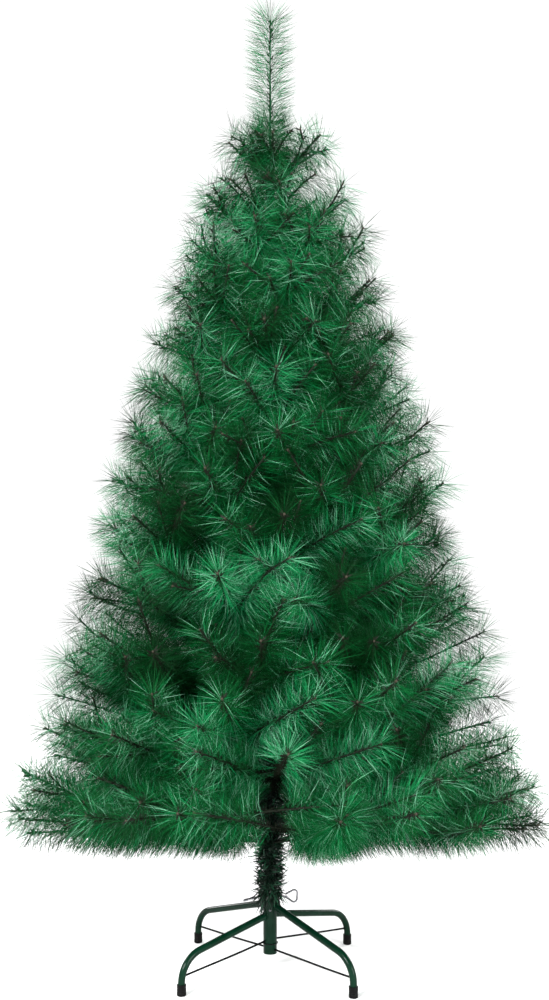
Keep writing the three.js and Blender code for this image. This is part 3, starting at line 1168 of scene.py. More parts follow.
    def grow(self) -> tuple[Sprays, Sprays]:
        """The boughs and the twigs of every whorl."""
        main, side = [], []
        fewer = self.boughs_at_top - self.boughs_at_foot
        for share, turn in zip(self.whorl_share(), self.turns):
            blend = self.boughs_at_foot + fewer * share**self.boughs_power
            boughs = self.boughs(float(share), turn, round(blend))
            main.append(boughs)
            for rule in (kind.value for kind in TwigKind if share <= kind.value.highest):
                for hand in rule.hands:
                    side.append(self.twigs(boughs, rule, hand, float(share)))
        return Sprays.joined(main), Sprays.joined(side)


@dataclass
class Needles:
    """The needles of all the sprays: thin blades in two rows that wind round each wire.

    Attributes:
        rng: The source of the random draws.
        length: A needle's length.
        lengths: The least and the greatest factor on that.
        width: Its greatest width.
        widths: The least and the greatest factor on that.
        pitch: The length of wire in which a row winds once round.
        spread: How far needles stray from their row, in degrees.
        end_spread: How much further they stray at the tip of the wire.
        lean: The angle from the wire, in degrees.
        end_lean: The same at the tip of the wire.
        lean_spread: How far the lean strays, in degrees.
        end_lean_spread: The same at the tip of the wire.
        end_run: How far from the tip the lean starts to change.
        upper_lean: How much more needles lean at the top of the tree, in degrees.
        upper_from: The height from which they start to.
        upper_run: The height in which that grows to the whole.
        upright: The part of a wire's direction along Z above which it counts as upright.
        forward: How far a needle curls towards the tip of its wire, as a share of its length.
        droop: How far it hangs, as a share of its length.
        curl: How unevenly it curls, as a share of its length.
        shares: How the sprays are dealt out: the draws below which a spray takes each tone.
        shade_pull: How far a spray's shade pulls its draw down, towards the darker tones that paint
            that shade.
        strays: The share of needles that take the next darker tone, and of those that take the
            next lighter one.
        glints: The share of needles outside the deepest sprays that take the palest tone, as painted
            highlights.
        glint_width: The width of those, as a share of the others'.
        tuft: How many more needles crowd the tip of a wire.
    """

    rng: np.random.Generator
    length: float = 60 * MM
    lengths: tuple[float, float] = (0.88, 1.06)
    width: float = 0.78 * MM
    widths: tuple[float, float] = (0.8, 1.15)
    pitch: float = 11 * MM
    spread: float = 20.0
    end_spread: float = 80.0
    lean: float = 68.0
    end_lean: float = 54.0
    lean_spread: float = 5.0
    end_lean_spread: float = 12.0
    end_run: float = 30 * MM
    upper_lean: float = 20.0
    upper_from: float = 0.85
    upper_run: float = 0.45
    upright: float = 0.9
    forward: float = 0.05
    droop: float = 0.06
    curl: float = 0.022
    shares: tuple[float, ...] = (0.30, 0.76, 1.4)
    shade_pull: float = 0.35
    strays: float = 0.14
    glints: float = 0.12
    glint_width: float = 0.6
    tuft: int = 20

    def outward(self, way: np.ndarray, angle: np.ndarray) -> np.ndarray:
        """Directions square to a wire, N cos(a) + B sin(a).

        Args:
            way: The wire's unit direction at each.
            angle: How far round the wire each is, in radians.

        Returns:
            The unit directions.
        """
        upright = np.abs(way[:, 2:]) > self.upright
        reference = np.where(upright, np.array([1.0, 0.0, 0.0]), UP)
        across = unit(np.cross(way, reference))
        over = np.cross(across, way)
        return np.cos(angle)[:, None] * across + np.sin(angle)[:, None] * over

    def on(self, sprays: Sprays) -> tuple[Blades, np.ndarray]:
        """The needles of some sprays.

        Along a wire with unit direction T, and N and B square to it, a needle sets out along
        cos(lean) T + sin(lean) (cos(a) N + sin(a) B), where a winds with the length of wire,
        half a turn apart on the two rows.

        Args:
            sprays: The wires.

        Returns:
            The blades, and the number of the wire that each grows on.
        """
        rng = self.rng
        span = sprays.lengths()
        counts = np.round(span * (1 - sprays.bare) * sprays.density).astype(int) + self.tuft
        owner = np.repeat(np.arange(len(counts)), counts)
        count = len(owner)
        rank = np.arange(count) - np.repeat(np.cumsum(counts) - counts, counts)
        share = (rank + rng.random(count)) / (counts[owner] - self.tuft)
        bare = sprays.bare[owner]
        along = bare + (1 - bare) * np.minimum(share, 1.0)
        root, way = sprays.at(owner, along)

        wound = 2 * math.pi * along * span[owner] / self.pitch + math.pi * (rank % 2)
        to_end = (1 - along) * span[owner]
        settled = smooth_step(to_end / self.end_run)
        spread = np.radians(self.spread + self.end_spread * (1 - settled))
        angle = wound + spread * rng.normal(0.0, 1.0, count)
        lean = self.end_lean + (self.lean - self.end_lean) * settled
        up_tree = np.clip((root[:, 2] - self.upper_from) / self.upper_run, 0.0, 1.0)
        lean = lean + self.upper_lean * up_tree * (np.abs(way[:, 2]) < self.upright)
        stray = self.end_lean_spread - (self.end_lean_spread - self.lean_spread) * settled
        lean = np.radians(lean + rng.normal(0.0, 1.0, count) * stray)
        direction = np.cos(lean)[:, None] * way + np.sin(lean)[:, None] * self.outward(way, angle)

        bend = self.forward * way + rng.normal(0.0, self.curl, (count, 3)) - self.droop * UP
        length = self.length * rng.uniform(*self.lengths, count)
        half_width = 0.5 * self.width * sprays.width[owner] * rng.uniform(*self.widths, count)
        faces = rng.normal(0.0, 1.0, (count, 3))
        return Blades(root, direction, bend, length, half_width, faces), owner

    def tones(self, owner: np.ndarray, shade: np.ndarray) -> np.ndarray:
        """The tone of each needle, dealt out by spray, with strays from the next tone.

        Args:
            owner: The number of the wire that each needle grows on.
            shade: How shaded each wire lies.

        Returns:
            The place of each needle's tone in the list of tones.
        """
        rng = self.rng
        # Shaded sprays draw lower and take darker tones as painted shade; lit ones take lighter tones
        # as painted light.
        draw = rng.random(len(shade)) - self.shade_pull * shade
        of_spray = np.searchsorted(self.shares, draw)[owner]
        stray = rng.random(len(owner))
        step = np.where(stray < self.strays, -1, 0) + np.where(stray > 1 - self.strays, 1, 0)
        of_needle = np.clip(of_spray + step, 0, len(Tone) - 1)
        # Needles picked at random take the pale tone as painted highlights, the glints.
        glints = (rng.random(len(owner)) < self.glints) & (of_spray > 0)
        return np.where(glints, len(Tone) - 1, of_needle)


@dataclass
class Foliage:
    """The whole crown as pieces: needles by zone and tone, and wires by zone.

    Attributes:
        crown: The crown, which says where the needles part.
        needles: The needles.
        zones: The bands that the pieces are cut into, from the lowest up.
        zone_lift: How far above a band's lowest solid the tips that belong to it start.
        judged_at: How far along a needle the place is that may lie in the parting, as a share.
        wire_sides: Steps round a wire, and round its cut end.
        wire_taper: The radius of a wire at its tip, as a share of that at its root.
        cut_length: How far the cut end of a wire stands out.
        cut_width: Its radius, as a share of the wire's at its root.
        barb_step: The length of wire between two clumps of barbs.
        barbs_a_step: Barbs in a clump.
        barb_length: A barb's length.
        barb_lengths: The least and the greatest factor on that.
        barb_width: Its greatest width.
        barb_lean: How much a barb sets out along its wire, as a share of how much outwards.
    """

    crown: Crown
    needles: Needles
    zones: tuple[Zone, ...] = (
        Zone("skirt", (1,)),
        Zone("low", (2,)),
        Zone("middle", (3, 4)),
        Zone("upper", (5, 6, 7), ("leader_needles",)),
    )
    zone_lift: float = 30 * MM
    judged_at: float = 0.6
    wire_sides: int = 6
    wire_taper: float = 0.72
    cut_length: float = 4 * MM
    cut_width: float = 0.8
    barb_step: float = 6.0 * MM
    barbs_a_step: int = 4
    barb_length: float = 15 * MM
    barb_lengths: tuple[float, float] = (0.6, 1.1)
    barb_width: float = 3.2 * MM
    barb_lean: float = 0.6

    def zone_of(self, sprays: Sprays) -> np.ndarray:
        """The number of the zone that each wire's tip lies in."""
        floors = [min(corners(node)[0][2] for node in zone.nodes()) for zone in self.zones[1:]]
        return np.searchsorted(np.array(floors) + self.zone_lift, sprays.paths[:, -1, 2])

    def build_needles(self, sprays: Sprays) -> None:
        """The needle pieces of all the wires that carry some, one for each zone and tone."""
        blades, owner = self.needles.on(sprays)
        judged = blades.roots + self.judged_at * blades.lengths[:, None] * blades.directions
        clear = ~self.crown.parted(judged)
        blades, owner = blades.picked(clear), owner[clear]
        tone_of = self.needles.tones(owner, sprays.shade)
        zone_of = self.zone_of(sprays)[owner]
        materials = {tone: tone.value.material() for tone in Tone}
        for place, zone in enumerate(self.zones):
            for rank, tone in enumerate(Tone):
                chosen = blades.picked((zone_of == place) & (tone_of == rank))
                if tone is Tone.PALE:
                    chosen.half_widths *= self.needles.glint_width
                name = f"needles_{tone.name.lower()}_{zone.name}"
                hand_over(chosen.surface(), name, materials[tone], "needles", zone.nodes(),
                          smooth=False)

    def barbs(self, sprays: Sprays, chosen: np.ndarray) -> Blades:
        """The dark roots of the needles, which stand off a wire in clumps like barbs.

        Args:
            sprays: The wires.
            chosen: Whether each wire gets them here.

        Returns:
            The barbs.
        """
        rng = self.needles.rng
        needled = sprays.lengths() * (1 - sprays.bare)
        clumps = np.where(chosen, np.round(needled / self.barb_step), 0).astype(int)
        counts = clumps * self.barbs_a_step
        owner = np.repeat(np.arange(len(counts)), counts)
        rank = np.arange(len(owner)) - np.repeat(np.cumsum(counts) - counts, counts)
        share = (rank // self.barbs_a_step + 1) / clumps[owner]
        bare = sprays.bare[owner]
        along = bare + (1 - bare) * share
        root, way = sprays.at(owner, along)
        outward = self.needles.outward(way, rng.uniform(0, 2 * math.pi, len(owner)))
        direction = unit(self.barb_lean * way + outward)
        length = self.barb_length * rng.uniform(*self.barb_lengths, len(owner))
        half_width = np.full(len(owner), 0.5 * self.barb_width)
        return Blades(root, direction, 0.0 * root, length, half_width, way)

    def build_wires(self, boughs: Sprays, twigs: Sprays) -> None:
        """The bough and twig pieces, one of each for each zone, with their cut ends.

        Args:
            boughs: The main wires.
            twigs: The side wires.
        """
        wire, cut = BOUGH_WIRE.material(), CUT_WIRE.material()
        for word, sprays in (("boughs", boughs), ("twigs", twigs)):
            zone_of = self.zone_of(sprays)
            taper = np.linspace(1.0, self.wire_taper, sprays.paths.shape[1])
            for place, zone in enumerate(self.zones):
                chosen = zone_of == place
                radii = sprays.thickness[chosen, None] * taper
                bars = swept(sprays.paths[chosen], radii, self.wire_sides)
                part = Surface.joined([bars, self.barbs(sprays, chosen).surface()])
                stands_for = zone.bough_nodes() if word == "boughs" else []
                hand_over(part, f"{word}_{zone.name}", wire, "bough_wire", stands_for)
        every = Sprays.joined([boughs, twigs])
        tips = every.paths[:, -1]
        ways = unit(every.paths[:, -1] - every.paths[:, -2])
        steps = np.array([0.0, 0.5, 1.0])[None, :, None] * self.cut_length
        radii = every.thickness[:, None] * self.cut_width
        stubs = swept(tips[:, None] + steps * ways[:, None], radii, self.wire_sides)
        hand_over(stubs, "bough_wire_ends", cut, "bough_wire", [])


# ---------- Trunk ----------


@dataclass
class Pole:
    """The trunk pole: plugged tubes, a shoulder and the wire of the leader, with a hub a whorl.

    Attributes:
        joints: The heights of the plugged joints.
        radii: The radius of each length of tube.
        shoulder: Where the top tube starts to close in.
        neck: Where it has closed on the wire.
        wire_radius: The wire's radius at the neck.
        tip_radius: The wire's radius just below its tip.
        tip_share: Its radius at the very tip, as a share of that.
        swage: How far the mouth of each tube is opened, and how long it is.
        edge: The chamfer on the tubes' rims.
        hub_height: How tall a hub is.
        hub_wall: How far a hub stands out from its bore, which grips the pole.
        hub_grip: How far the bore lies inside the pole's surface.
        hub_lip: How tall its upper and its lower lip are.
        hub_edge: The chamfer on them.
        hub_groove: How deep the groove between them is.
        sides: Steps round the pole.
    """

    joints: tuple[float, float] = (0.655, 1.130)
    radii: tuple[float, float, float] = (10.8 * MM, 9.5 * MM, 8.0 * MM)
    shoulder: float = 1.516
    neck: float = 1.536
    wire_radius: float = 2.2 * MM
    tip_radius: float = 1.3 * MM
    tip_share: float = 0.6
    swage: tuple[float, float] = (0.7 * MM, 22 * MM)
    edge: float = 1.0 * MM
    hub_height: float = 15 * MM
    hub_wall: float = 5.5 * MM
    hub_grip: float = 0.5 * MM
    hub_lip: float = 3 * MM
    hub_edge: float = 0.8 * MM
    hub_groove: float = 2 * MM
    sides: int = 48

    def tube_profile(self) -> list[tuple[float, float]]:
        """Radius and height from the foot to the tip, as plugged tubes of three widths."""
        low, high = corners("trunk_pole")
        foot, tip = low[2], high[2]
        lower, middle, upper = self.radii
        first, second = self.joints
        flare, length = self.swage
        edge = self.edge
        profile = [(0.0, foot), (lower - edge, foot), (lower, foot + edge)]
        for radius, top, after in ((lower, first, middle), (middle, second, upper)):
            profile += [
                (radius, top - length - 2 * edge),
                (radius + flare, top - length),
                (radius + flare, top - edge),
                (radius + flare - edge, top),
                (after, top),
            ]
        turn = np.linspace(0.0, math.pi, num=9)
        drop = 0.5 * (upper - self.wire_radius)
        closing = np.stack([
            self.wire_radius + drop * (1 + np.cos(turn)),
            self.shoulder + (self.neck - self.shoulder) * turn / math.pi,
        ], axis=1)
        profile += [tuple(point) for point in closing]
        blunt = self.tip_share * self.tip_radius
        profile += [(self.tip_radius, tip - edge), (blunt, tip), (0.0, tip)]
        return profile

    def radius_at(self, height: float) -> float:
        """The tube's radius at a height."""
        return self.radii[int(np.searchsorted(self.joints, height))]

    def hub(self, height: float) -> Surface:
        """A hub that holds one whorl: a collar with a lip above and below its groove."""
        inner = self.radius_at(height) - self.hub_grip
        outer = inner + self.hub_wall
        waist = outer - self.hub_groove
        half, lip, edge = self.hub_height / 2, self.hub_lip, self.hub_edge
        lower = [
            (inner, -half),
            (outer - edge, -half),
            (outer, -half + edge),
            (outer, -half + lip - edge),
            (outer - edge, -half + lip),
            (waist, -half + lip + edge),
        ]
        upper = [(radius, -level) for radius, level in reversed(lower)]
        return revolved(lower + upper + lower[:1], self.sides).moved((0.0, 0.0, height))

    def build(self, hub_heights: np.ndarray) -> None:
        """The pole, and a hub at each of the heights where a whorl starts."""
        pole = revolved(self.tube_profile(), self.sides)
        hand_over(pole, "trunk_tubes", POLE_ENAMEL.material(), "trunk_pole", ["trunk_pole"])
        hubs = Surface.joined([self.hub(float(height)) for height in hub_heights])
        hand_over(hubs, "trunk_hubs", HUB_PLASTIC.material(), "trunk_pole", [])


@dataclass
class Tinsel:
    """The sleeve of short tinsel strips that winds round the foot of the pole.

    Attributes:
        rng: The source of the random draws.
        strips: How many strips it has.
        lengths: The shortest and the longest strip.
        width: The width of a strip.
        widths: The least and the greatest factor on that.
        below: How far below the sleeve's solid its thick part starts.
        spill: How far it hangs down over the socket.
        spill_share: The share of the strips that do.
        spill_power: The power of the draw that crowds them near the top of that stretch.
        above: How far it climbs inside the crown.
        above_share: The share of the strips that do.
        spill_slope: How steeply the spilling strips set out, in degrees, least and most.
        slope: The middle and the spread of that for the others.
        turn: How far a strip is turned round the pole, as a share of how far it goes outwards.
        curl: How unevenly it curls, as a share of its length.
        droop: How far it hangs, as a share of its length.
        lit_share: The share of the strips in the lit tone, a painted highlight.
    """

    rng: np.random.Generator
    strips: int = 4400
    lengths: tuple[float, float] = (12 * MM, 34 * MM)
    width: float = 2.5 * MM
    widths: tuple[float, float] = (0.7, 1.2)
    below: float = 12 * MM
    spill: float = 30 * MM
    spill_share: float = 0.06
    spill_power: float = 1.3
    above: float = 220 * MM
    above_share: float = 0.48
    spill_slope: tuple[float, float] = (-86.0, -58.0)
    slope: tuple[float, float] = (8.0, 44.0)
    turn: float = 0.8
    curl: float = 0.22
    droop: float = 0.10
    lit_share: float = 0.2

    def build(self, surface_radius: float, socket_radius: float) -> None:
        """The strips, in a dark tone and in a lit tone that is a painted highlight.

        A strip leaves the pole at azimuth a along cos(e) R + sin(e) Z, with R outward and e its
        slope, turned round the pole, and curls over by its tip. The spilling ones never curl
        inwards, where they would run into the socket.

        Args:
            surface_radius: The radius of the pole.
            socket_radius: The radius of the socket tube, where the strips spill over it.
        """
        rng = self.rng
        low, high = corners("trunk_tinsel_sleeve")
        foot, top = low[2], high[2]
        count = self.strips
        band = rng.random(count)
        spills = band < self.spill_share
        climbs = band > 1 - self.above_share
        height = rng.uniform(foot - self.below, top, count)
        height = np.where(spills, foot - self.spill * rng.random(count) ** self.spill_power, height)
        height = np.where(climbs, top + self.above * rng.random(count), height)
        azimuth = rng.uniform(0, 2 * math.pi, count)
        radius = np.where(height < foot, socket_radius, surface_radius)
        root = round_axis(azimuth, radius, height)
        outward = round_axis(azimuth, np.ones(count), np.zeros(count))
        around = np.cross(UP, outward)
        spilling, free = rng.uniform(*self.spill_slope, count), rng.normal(*self.slope, count)
        raised = np.radians(np.where(spills, spilling, free))
        turn = rng.normal(0.0, self.turn, count)[:, None]
        direction = np.cos(raised)[:, None] * outward + np.sin(raised)[:, None] * UP + turn * around
        direction = unit(direction)
        bend = rng.normal(0.0, self.curl, (count, 3)) - self.droop * UP
        inward = np.sum(bend * outward, axis=1, keepdims=True)
        bend = np.where(spills[:, None], bend - np.minimum(inward, 0.0) * outward, bend)
        length = rng.uniform(*self.lengths, count)
        half_width = 0.5 * self.width * rng.uniform(*self.widths, count)
        faces = rng.normal(0.0, 1.0, (count, 3))
        blades = Blades(root, direction, bend, length, half_width, faces)
        # Strips picked at random take the lit tone as a painted highlight.
        lit = rng.random(count) < self.lit_share
        for name, chosen, finish in (("dark", ~lit, TINSEL_DARK), ("lit", lit, TINSEL_LIT_PAINTED_HIGHLIGHT)):
            part = blades.picked(chosen).surface()
            hand_over(part, f"trunk_tinsel_{name}", finish.material(), "tinsel",
                      ["trunk_tinsel_sleeve"], smooth=False)


# ---------- Stand ----------


class Place(Enum):
    """The four legs, by where their feet stand."""

    FRONT_RIGHT = "front_right"
    BACK_RIGHT = "back_right"
    BACK_LEFT = "back_left"
    FRONT_LEFT = "front_left"

    @property
    def upper(self) -> bool:
        """Whether the leg belongs to the pair that meets the socket higher up."""
        return self in (Place.FRONT_RIGHT, Place.BACK_LEFT)


@dataclass
class Socket:
    """The socket tube that takes the pole, with its rivet heads and the ring of the stays.

    Attributes:
        wall: The tube's wall.
        edge: The rounding of its rims.
        rivet_height: Where the rivets stand.
        rivet_radius: The radius of a rivet's head.
        rivet_dome: How far the head stands out.
        rivet_sink: How far it reaches into the tube's wall.
        rivets: How many stand round the tube.
        sides: Steps round the tube.
        rivet_sides: Steps round a rivet.
    """

    wall: float = 1.4 * MM
    edge: float = 0.5 * MM
    rivet_height: float = 0.111
    rivet_radius: float = 2.6 * MM
    rivet_dome: float = 1.5 * MM
    rivet_sink: float = 1.2 * MM
    rivets: int = 4
    sides: int = 64
    rivet_sides: int = 20

    def __post_init__(self) -> None:
        """Reads the tube's box."""
        low, high = corners("stand_socket_tube")
        self.foot, self.top, self.radius = low[2], high[2], high[0]

    def tube(self) -> Surface:
        """The open tube, its two rims rounded by an arc of 90 degrees a corner."""
        inner, outer, edge = self.radius - self.wall, self.radius, self.edge
        quarter = np.linspace(0.0, math.pi / 2, num=4)
        profile = []
        for radius, height, start in (
            (outer - edge, self.foot + edge, -math.pi / 2),
            (outer - edge, self.top - edge, 0.0),
            (inner + edge, self.top - edge, math.pi / 2),
            (inner + edge, self.foot + edge, math.pi),
        ):
            angle = start + quarter
            profile += list(zip(radius + edge * np.cos(angle), height + edge * np.sin(angle)))
        profile.append(profile[0])
        return revolved(profile, self.sides)

    def rivet(self, azimuth: float) -> Surface:
        """A domed rivet head, turned to lie along X, set on the wall and carried to its azimuth.

        Args:
            azimuth: Where round the tube it stands, in radians.

        Returns:
            The closed head.
        """
        turn = np.linspace(0.0, math.pi / 2, num=7)
        dome = [(self.rivet_radius * math.cos(a), self.rivet_dome * math.sin(a)) for a in turn]
        dome[-1] = (0.0, self.rivet_dome)
        shank = [(0.0, -self.rivet_sink), (self.rivet_radius, -self.rivet_sink)]
        head = revolved(shank + dome, self.rivet_sides)
        x, y, z = head.points.T
        laid = np.stack([z + self.radius, y, -x + self.rivet_height], axis=1)
        return Surface(laid, head.quads, head.triangles).turned(azimuth)

    def stay_ring(self) -> Surface:
        """The wire ring round the tube, a circle carried round another."""
        low, high = corners("stand_stay_ring")
        wire = (high[2] - low[2]) / 2
        centre, level = high[0] - wire, (low[2] + high[2]) / 2
        turn = np.linspace(0.0, 2 * math.pi, num=13)
        section = [(centre + wire * math.cos(a), level + wire * math.sin(a)) for a in turn]
        section[-1] = section[0]
        return revolved(section, self.sides)

    def build(self, enamel: bpy.types.Material, stay: bpy.types.Material,
              plating: bpy.types.Material) -> None:
        """The tube, its rivets and the ring.

        Args:
            enamel: The stand's green.
            stay: The stays' black.
            plating: The bright metal of the rivets.
        """
        hand_over(self.tube(), "stand_socket", enamel, "stand_paint", ["stand_socket_tube"])
        between = 2 * math.pi / self.rivets
        heads = Surface.joined([self.rivet((step - 1) * between) for step in range(self.rivets)])
        hand_over(heads, "stand_rivets", plating, "bolt_chrome", [])
        hand_over(self.stay_ring(), "stand_ring", stay, "stay_wire", ["stand_stay_ring"])


@dataclass
class Leg:
    """One leg of bent tube with its weld, its cap and its stay.

    Attributes:
        place: Which leg it is.
        socket: The tube that it is welded to.
        radius: The radius of the leg's tube.
        bend_radius: The radius of its bend.
        slopes: How far the upper and the lower pair slope down, in degrees.
        weld_radius: The middle radius of the weld bead.
        weld_ripple: How much that swells and shrinks, as a share of it.
        weld_ripples: How many ripples the bead has.
        edge: The rounding under the cap.
        grooves: How far up the cap its grooves are, as shares of its height.
        groove_depth: How deep they are.
        groove_halves: Half of a groove's width at its bottom and at its mouth.
        bore_gap: The gap between the leg's tube and the cap.
        stay_radius: The radius of the stay's wire.
        stay_start: How far inside the socket's surface the stay starts.
        stay_end: How far short of the leg's middle line it ends, as a share of the leg's radius.
        stay_sag: How far it hangs in its middle.
        stay_wave: How far it wanders sideways.
        sides: Steps round the leg's tube.
    """

    place: Place
    socket: Socket
    radius: float = 6.35 * MM
    bend_radius: float = 50 * MM
    slopes: tuple[float, float] = (16.0, 10.5)
    weld_radius: float = 1.9 * MM
    weld_ripple: float = 0.14
    weld_ripples: int = 26
    edge: float = 2.0 * MM
    grooves: tuple[float, ...] = (0.38, 0.52, 0.66)
    groove_depth: float = 0.45 * MM
    groove_halves: tuple[float, float] = (0.4 * MM, 0.9 * MM)
    bore_gap: float = 0.1 * MM
    stay_radius: float = 1.9 * MM
    stay_start: float = 4 * MM
    stay_end: float = 0.3
    stay_sag: float = 0.6 * MM
    stay_wave: float = 0.7 * MM
    sides: int = 40

    def __post_init__(self) -> None:
        """Reads where the leg stands and how high it meets the socket."""
        low, high = corners(f"foot_cap_{self.place.value}")
        middle = (low + high) / 2
        self.reach = float(np.hypot(middle[0], middle[1]))
        self.azimuth = math.atan2(middle[1], middle[0])
        self.cap_radius = float(high[0] - low[0]) / 2
        self.cap_top = float(high[2])
        leg_low, leg_high = corners(f"stand_leg_{self.place.value}")
        self.foot = float(leg_low[2])
        self.lean = math.radians(self.slopes[0] if self.place.upper else self.slopes[1])
        crest = self.radius / math.cos(self.lean)
        self.height = float(leg_high[2]) - crest + self.socket.radius * math.tan(self.lean)

    def line(self) -> np.ndarray:
        """The middle line in the leg's own upright plane.

        It falls straight at the lean, bends on an arc until it is upright, and drops to the foot.

        Returns:
            The points, from inside the socket's wall to the foot.
        """
        lean, bend = self.lean, self.bend_radius
        start = self.socket.radius - self.socket.wall / 2
        centre_x = self.reach - bend
        bend_x = centre_x + bend * math.sin(lean)
        bend_z = self.height - bend_x * math.tan(lean)
        centre_z = bend_z - bend * math.cos(lean)
        out = np.linspace(start, bend_x, num=24)
        straight = np.stack([out, self.height - out * math.tan(lean)], axis=1)
        turn = np.linspace(math.pi / 2 - lean, 0.0, num=28)[1:]
        arc = np.stack([centre_x + bend * np.cos(turn), centre_z + bend * np.sin(turn)], axis=1)
        drop = np.linspace(centre_z, self.foot, num=5)[1:]
        upright = np.stack([np.full(len(drop), self.reach), drop], axis=1)
        flat = np.concatenate([straight, arc, upright])
        return np.stack([flat[:, 0], np.zeros(len(flat)), flat[:, 1]], axis=1)

    def tube(self) -> Surface:
        """The bent tube."""
        path = self.line()
        radii = np.full(len(path), self.radius)
        sideways = np.array([0.0, 1.0, 0.0])
        return swept(path, radii, self.sides, sideways).turned(self.azimuth)

    def weld(self) -> Surface:
        """The weld bead, a rippled ring where the leg's tube runs into the socket's.

        The two tubes meet on the curve with x = sqrt(R^2 - (r cos a)^2) across the socket, and
        the bead is a bar carried round that curve.

        Returns:
            The closed bead.
        """
        turn = np.linspace(0.0, 2 * math.pi, num=73)
        across = self.radius * np.cos(turn)
        up = self.radius * np.sin(turn) / math.cos(self.lean)
        out = np.sqrt(self.socket.radius**2 - across**2)
        rise = self.height - out * math.tan(self.lean) + up
        path = np.stack([out, across, rise], axis=1)
        ripple = self.weld_radius * (1 + self.weld_ripple * np.sin(self.weld_ripples * turn))
        outward = np.array([1.0, 0.0, 0.0])
        return swept(path, ripple, sides=10, reference=outward).turned(self.azimuth)

    def cap(self) -> Surface:
        """The foot cap: a rounded cup with three grooves and a rolled lip."""
        radius, top, bore = self.cap_radius, self.cap_top, self.radius + self.bore_gap
        profile = [(0.0, 0.0)]
        for angle in np.linspace(-math.pi / 2, 0.0, num=6):
            across = radius - self.edge + self.edge * math.cos(angle)
            profile.append((across, self.edge + self.edge * math.sin(angle)))
        bottom, mouth = self.groove_halves
        floor = radius - self.groove_depth
        for groove in self.grooves:
            middle = groove * top
            profile += [
                (radius, middle - mouth),
                (floor, middle - bottom),
                (floor, middle + bottom),
                (radius, middle + mouth),
            ]
        profile += [
            (radius - 0.1 * MM, top - 2.6 * MM),
            (radius + 0.1 * MM, top - 2.0 * MM),
            (radius + 0.1 * MM, top - 0.7 * MM),
            (radius - 0.5 * MM, top),
            (bore + 0.3 * MM, top),
            (bore, top - 0.4 * MM),
            (bore, self.foot),
            (0.0, self.foot),
        ]
        foot = (self.reach * math.cos(self.azimuth), self.reach * math.sin(self.azimuth), 0.0)
        return revolved(profile, sides=44).moved(foot)

    def stay(self) -> Surface:
        """The stay wire, from inside the socket to inside the leg.

        With s from 0 to 1 it hangs under the straight line by sag 4 s (1 - s), and wanders
        sideways by a slow wave of the same shape.

        Returns:
            The closed wire.
        """
        low, high = corners(f"stay_wire_{self.place.value}")
        near, far = high[2] - self.stay_radius, low[2] + self.stay_radius
        start = self.socket.radius - self.stay_start
        stop = self.reach - self.stay_end * self.radius
        s = np.linspace(0.0, 1.0, num=22)
        out = start + (stop - start) * s
        hump = 4 * s * (1 - s)
        height = near + (far - near) * s - self.stay_sag * hump
        path = np.stack([out, self.stay_wave * hump * np.sin(5 * s), height], axis=1)
        radii = np.full(len(path), self.stay_radius)
        return swept(path, radii, sides=14).turned(self.azimuth)

    def build(self, enamel: bpy.types.Material, stay: bpy.types.Material,
              plastic: bpy.types.Material) -> None:
        """The leg, its weld, its cap and its stay.

        Args:
            enamel: The stand's green.
            stay: The stays' black.
            plastic: The caps' black.
        """
        name = self.place.value
        hand_over(self.tube(), f"leg_{name}", enamel, "stand_paint", [f"stand_leg_{name}"])
        hand_over(self.weld(), f"leg_weld_{name}", enamel, "stand_paint", [])
        hand_over(self.cap(), f"leg_cap_{name}", plastic, "foot_plastic", [f"foot_cap_{name}"])
        hand_over(self.stay(), f"leg_stay_{name}", stay, "stay_wire", [f"stay_wire_{name}"])


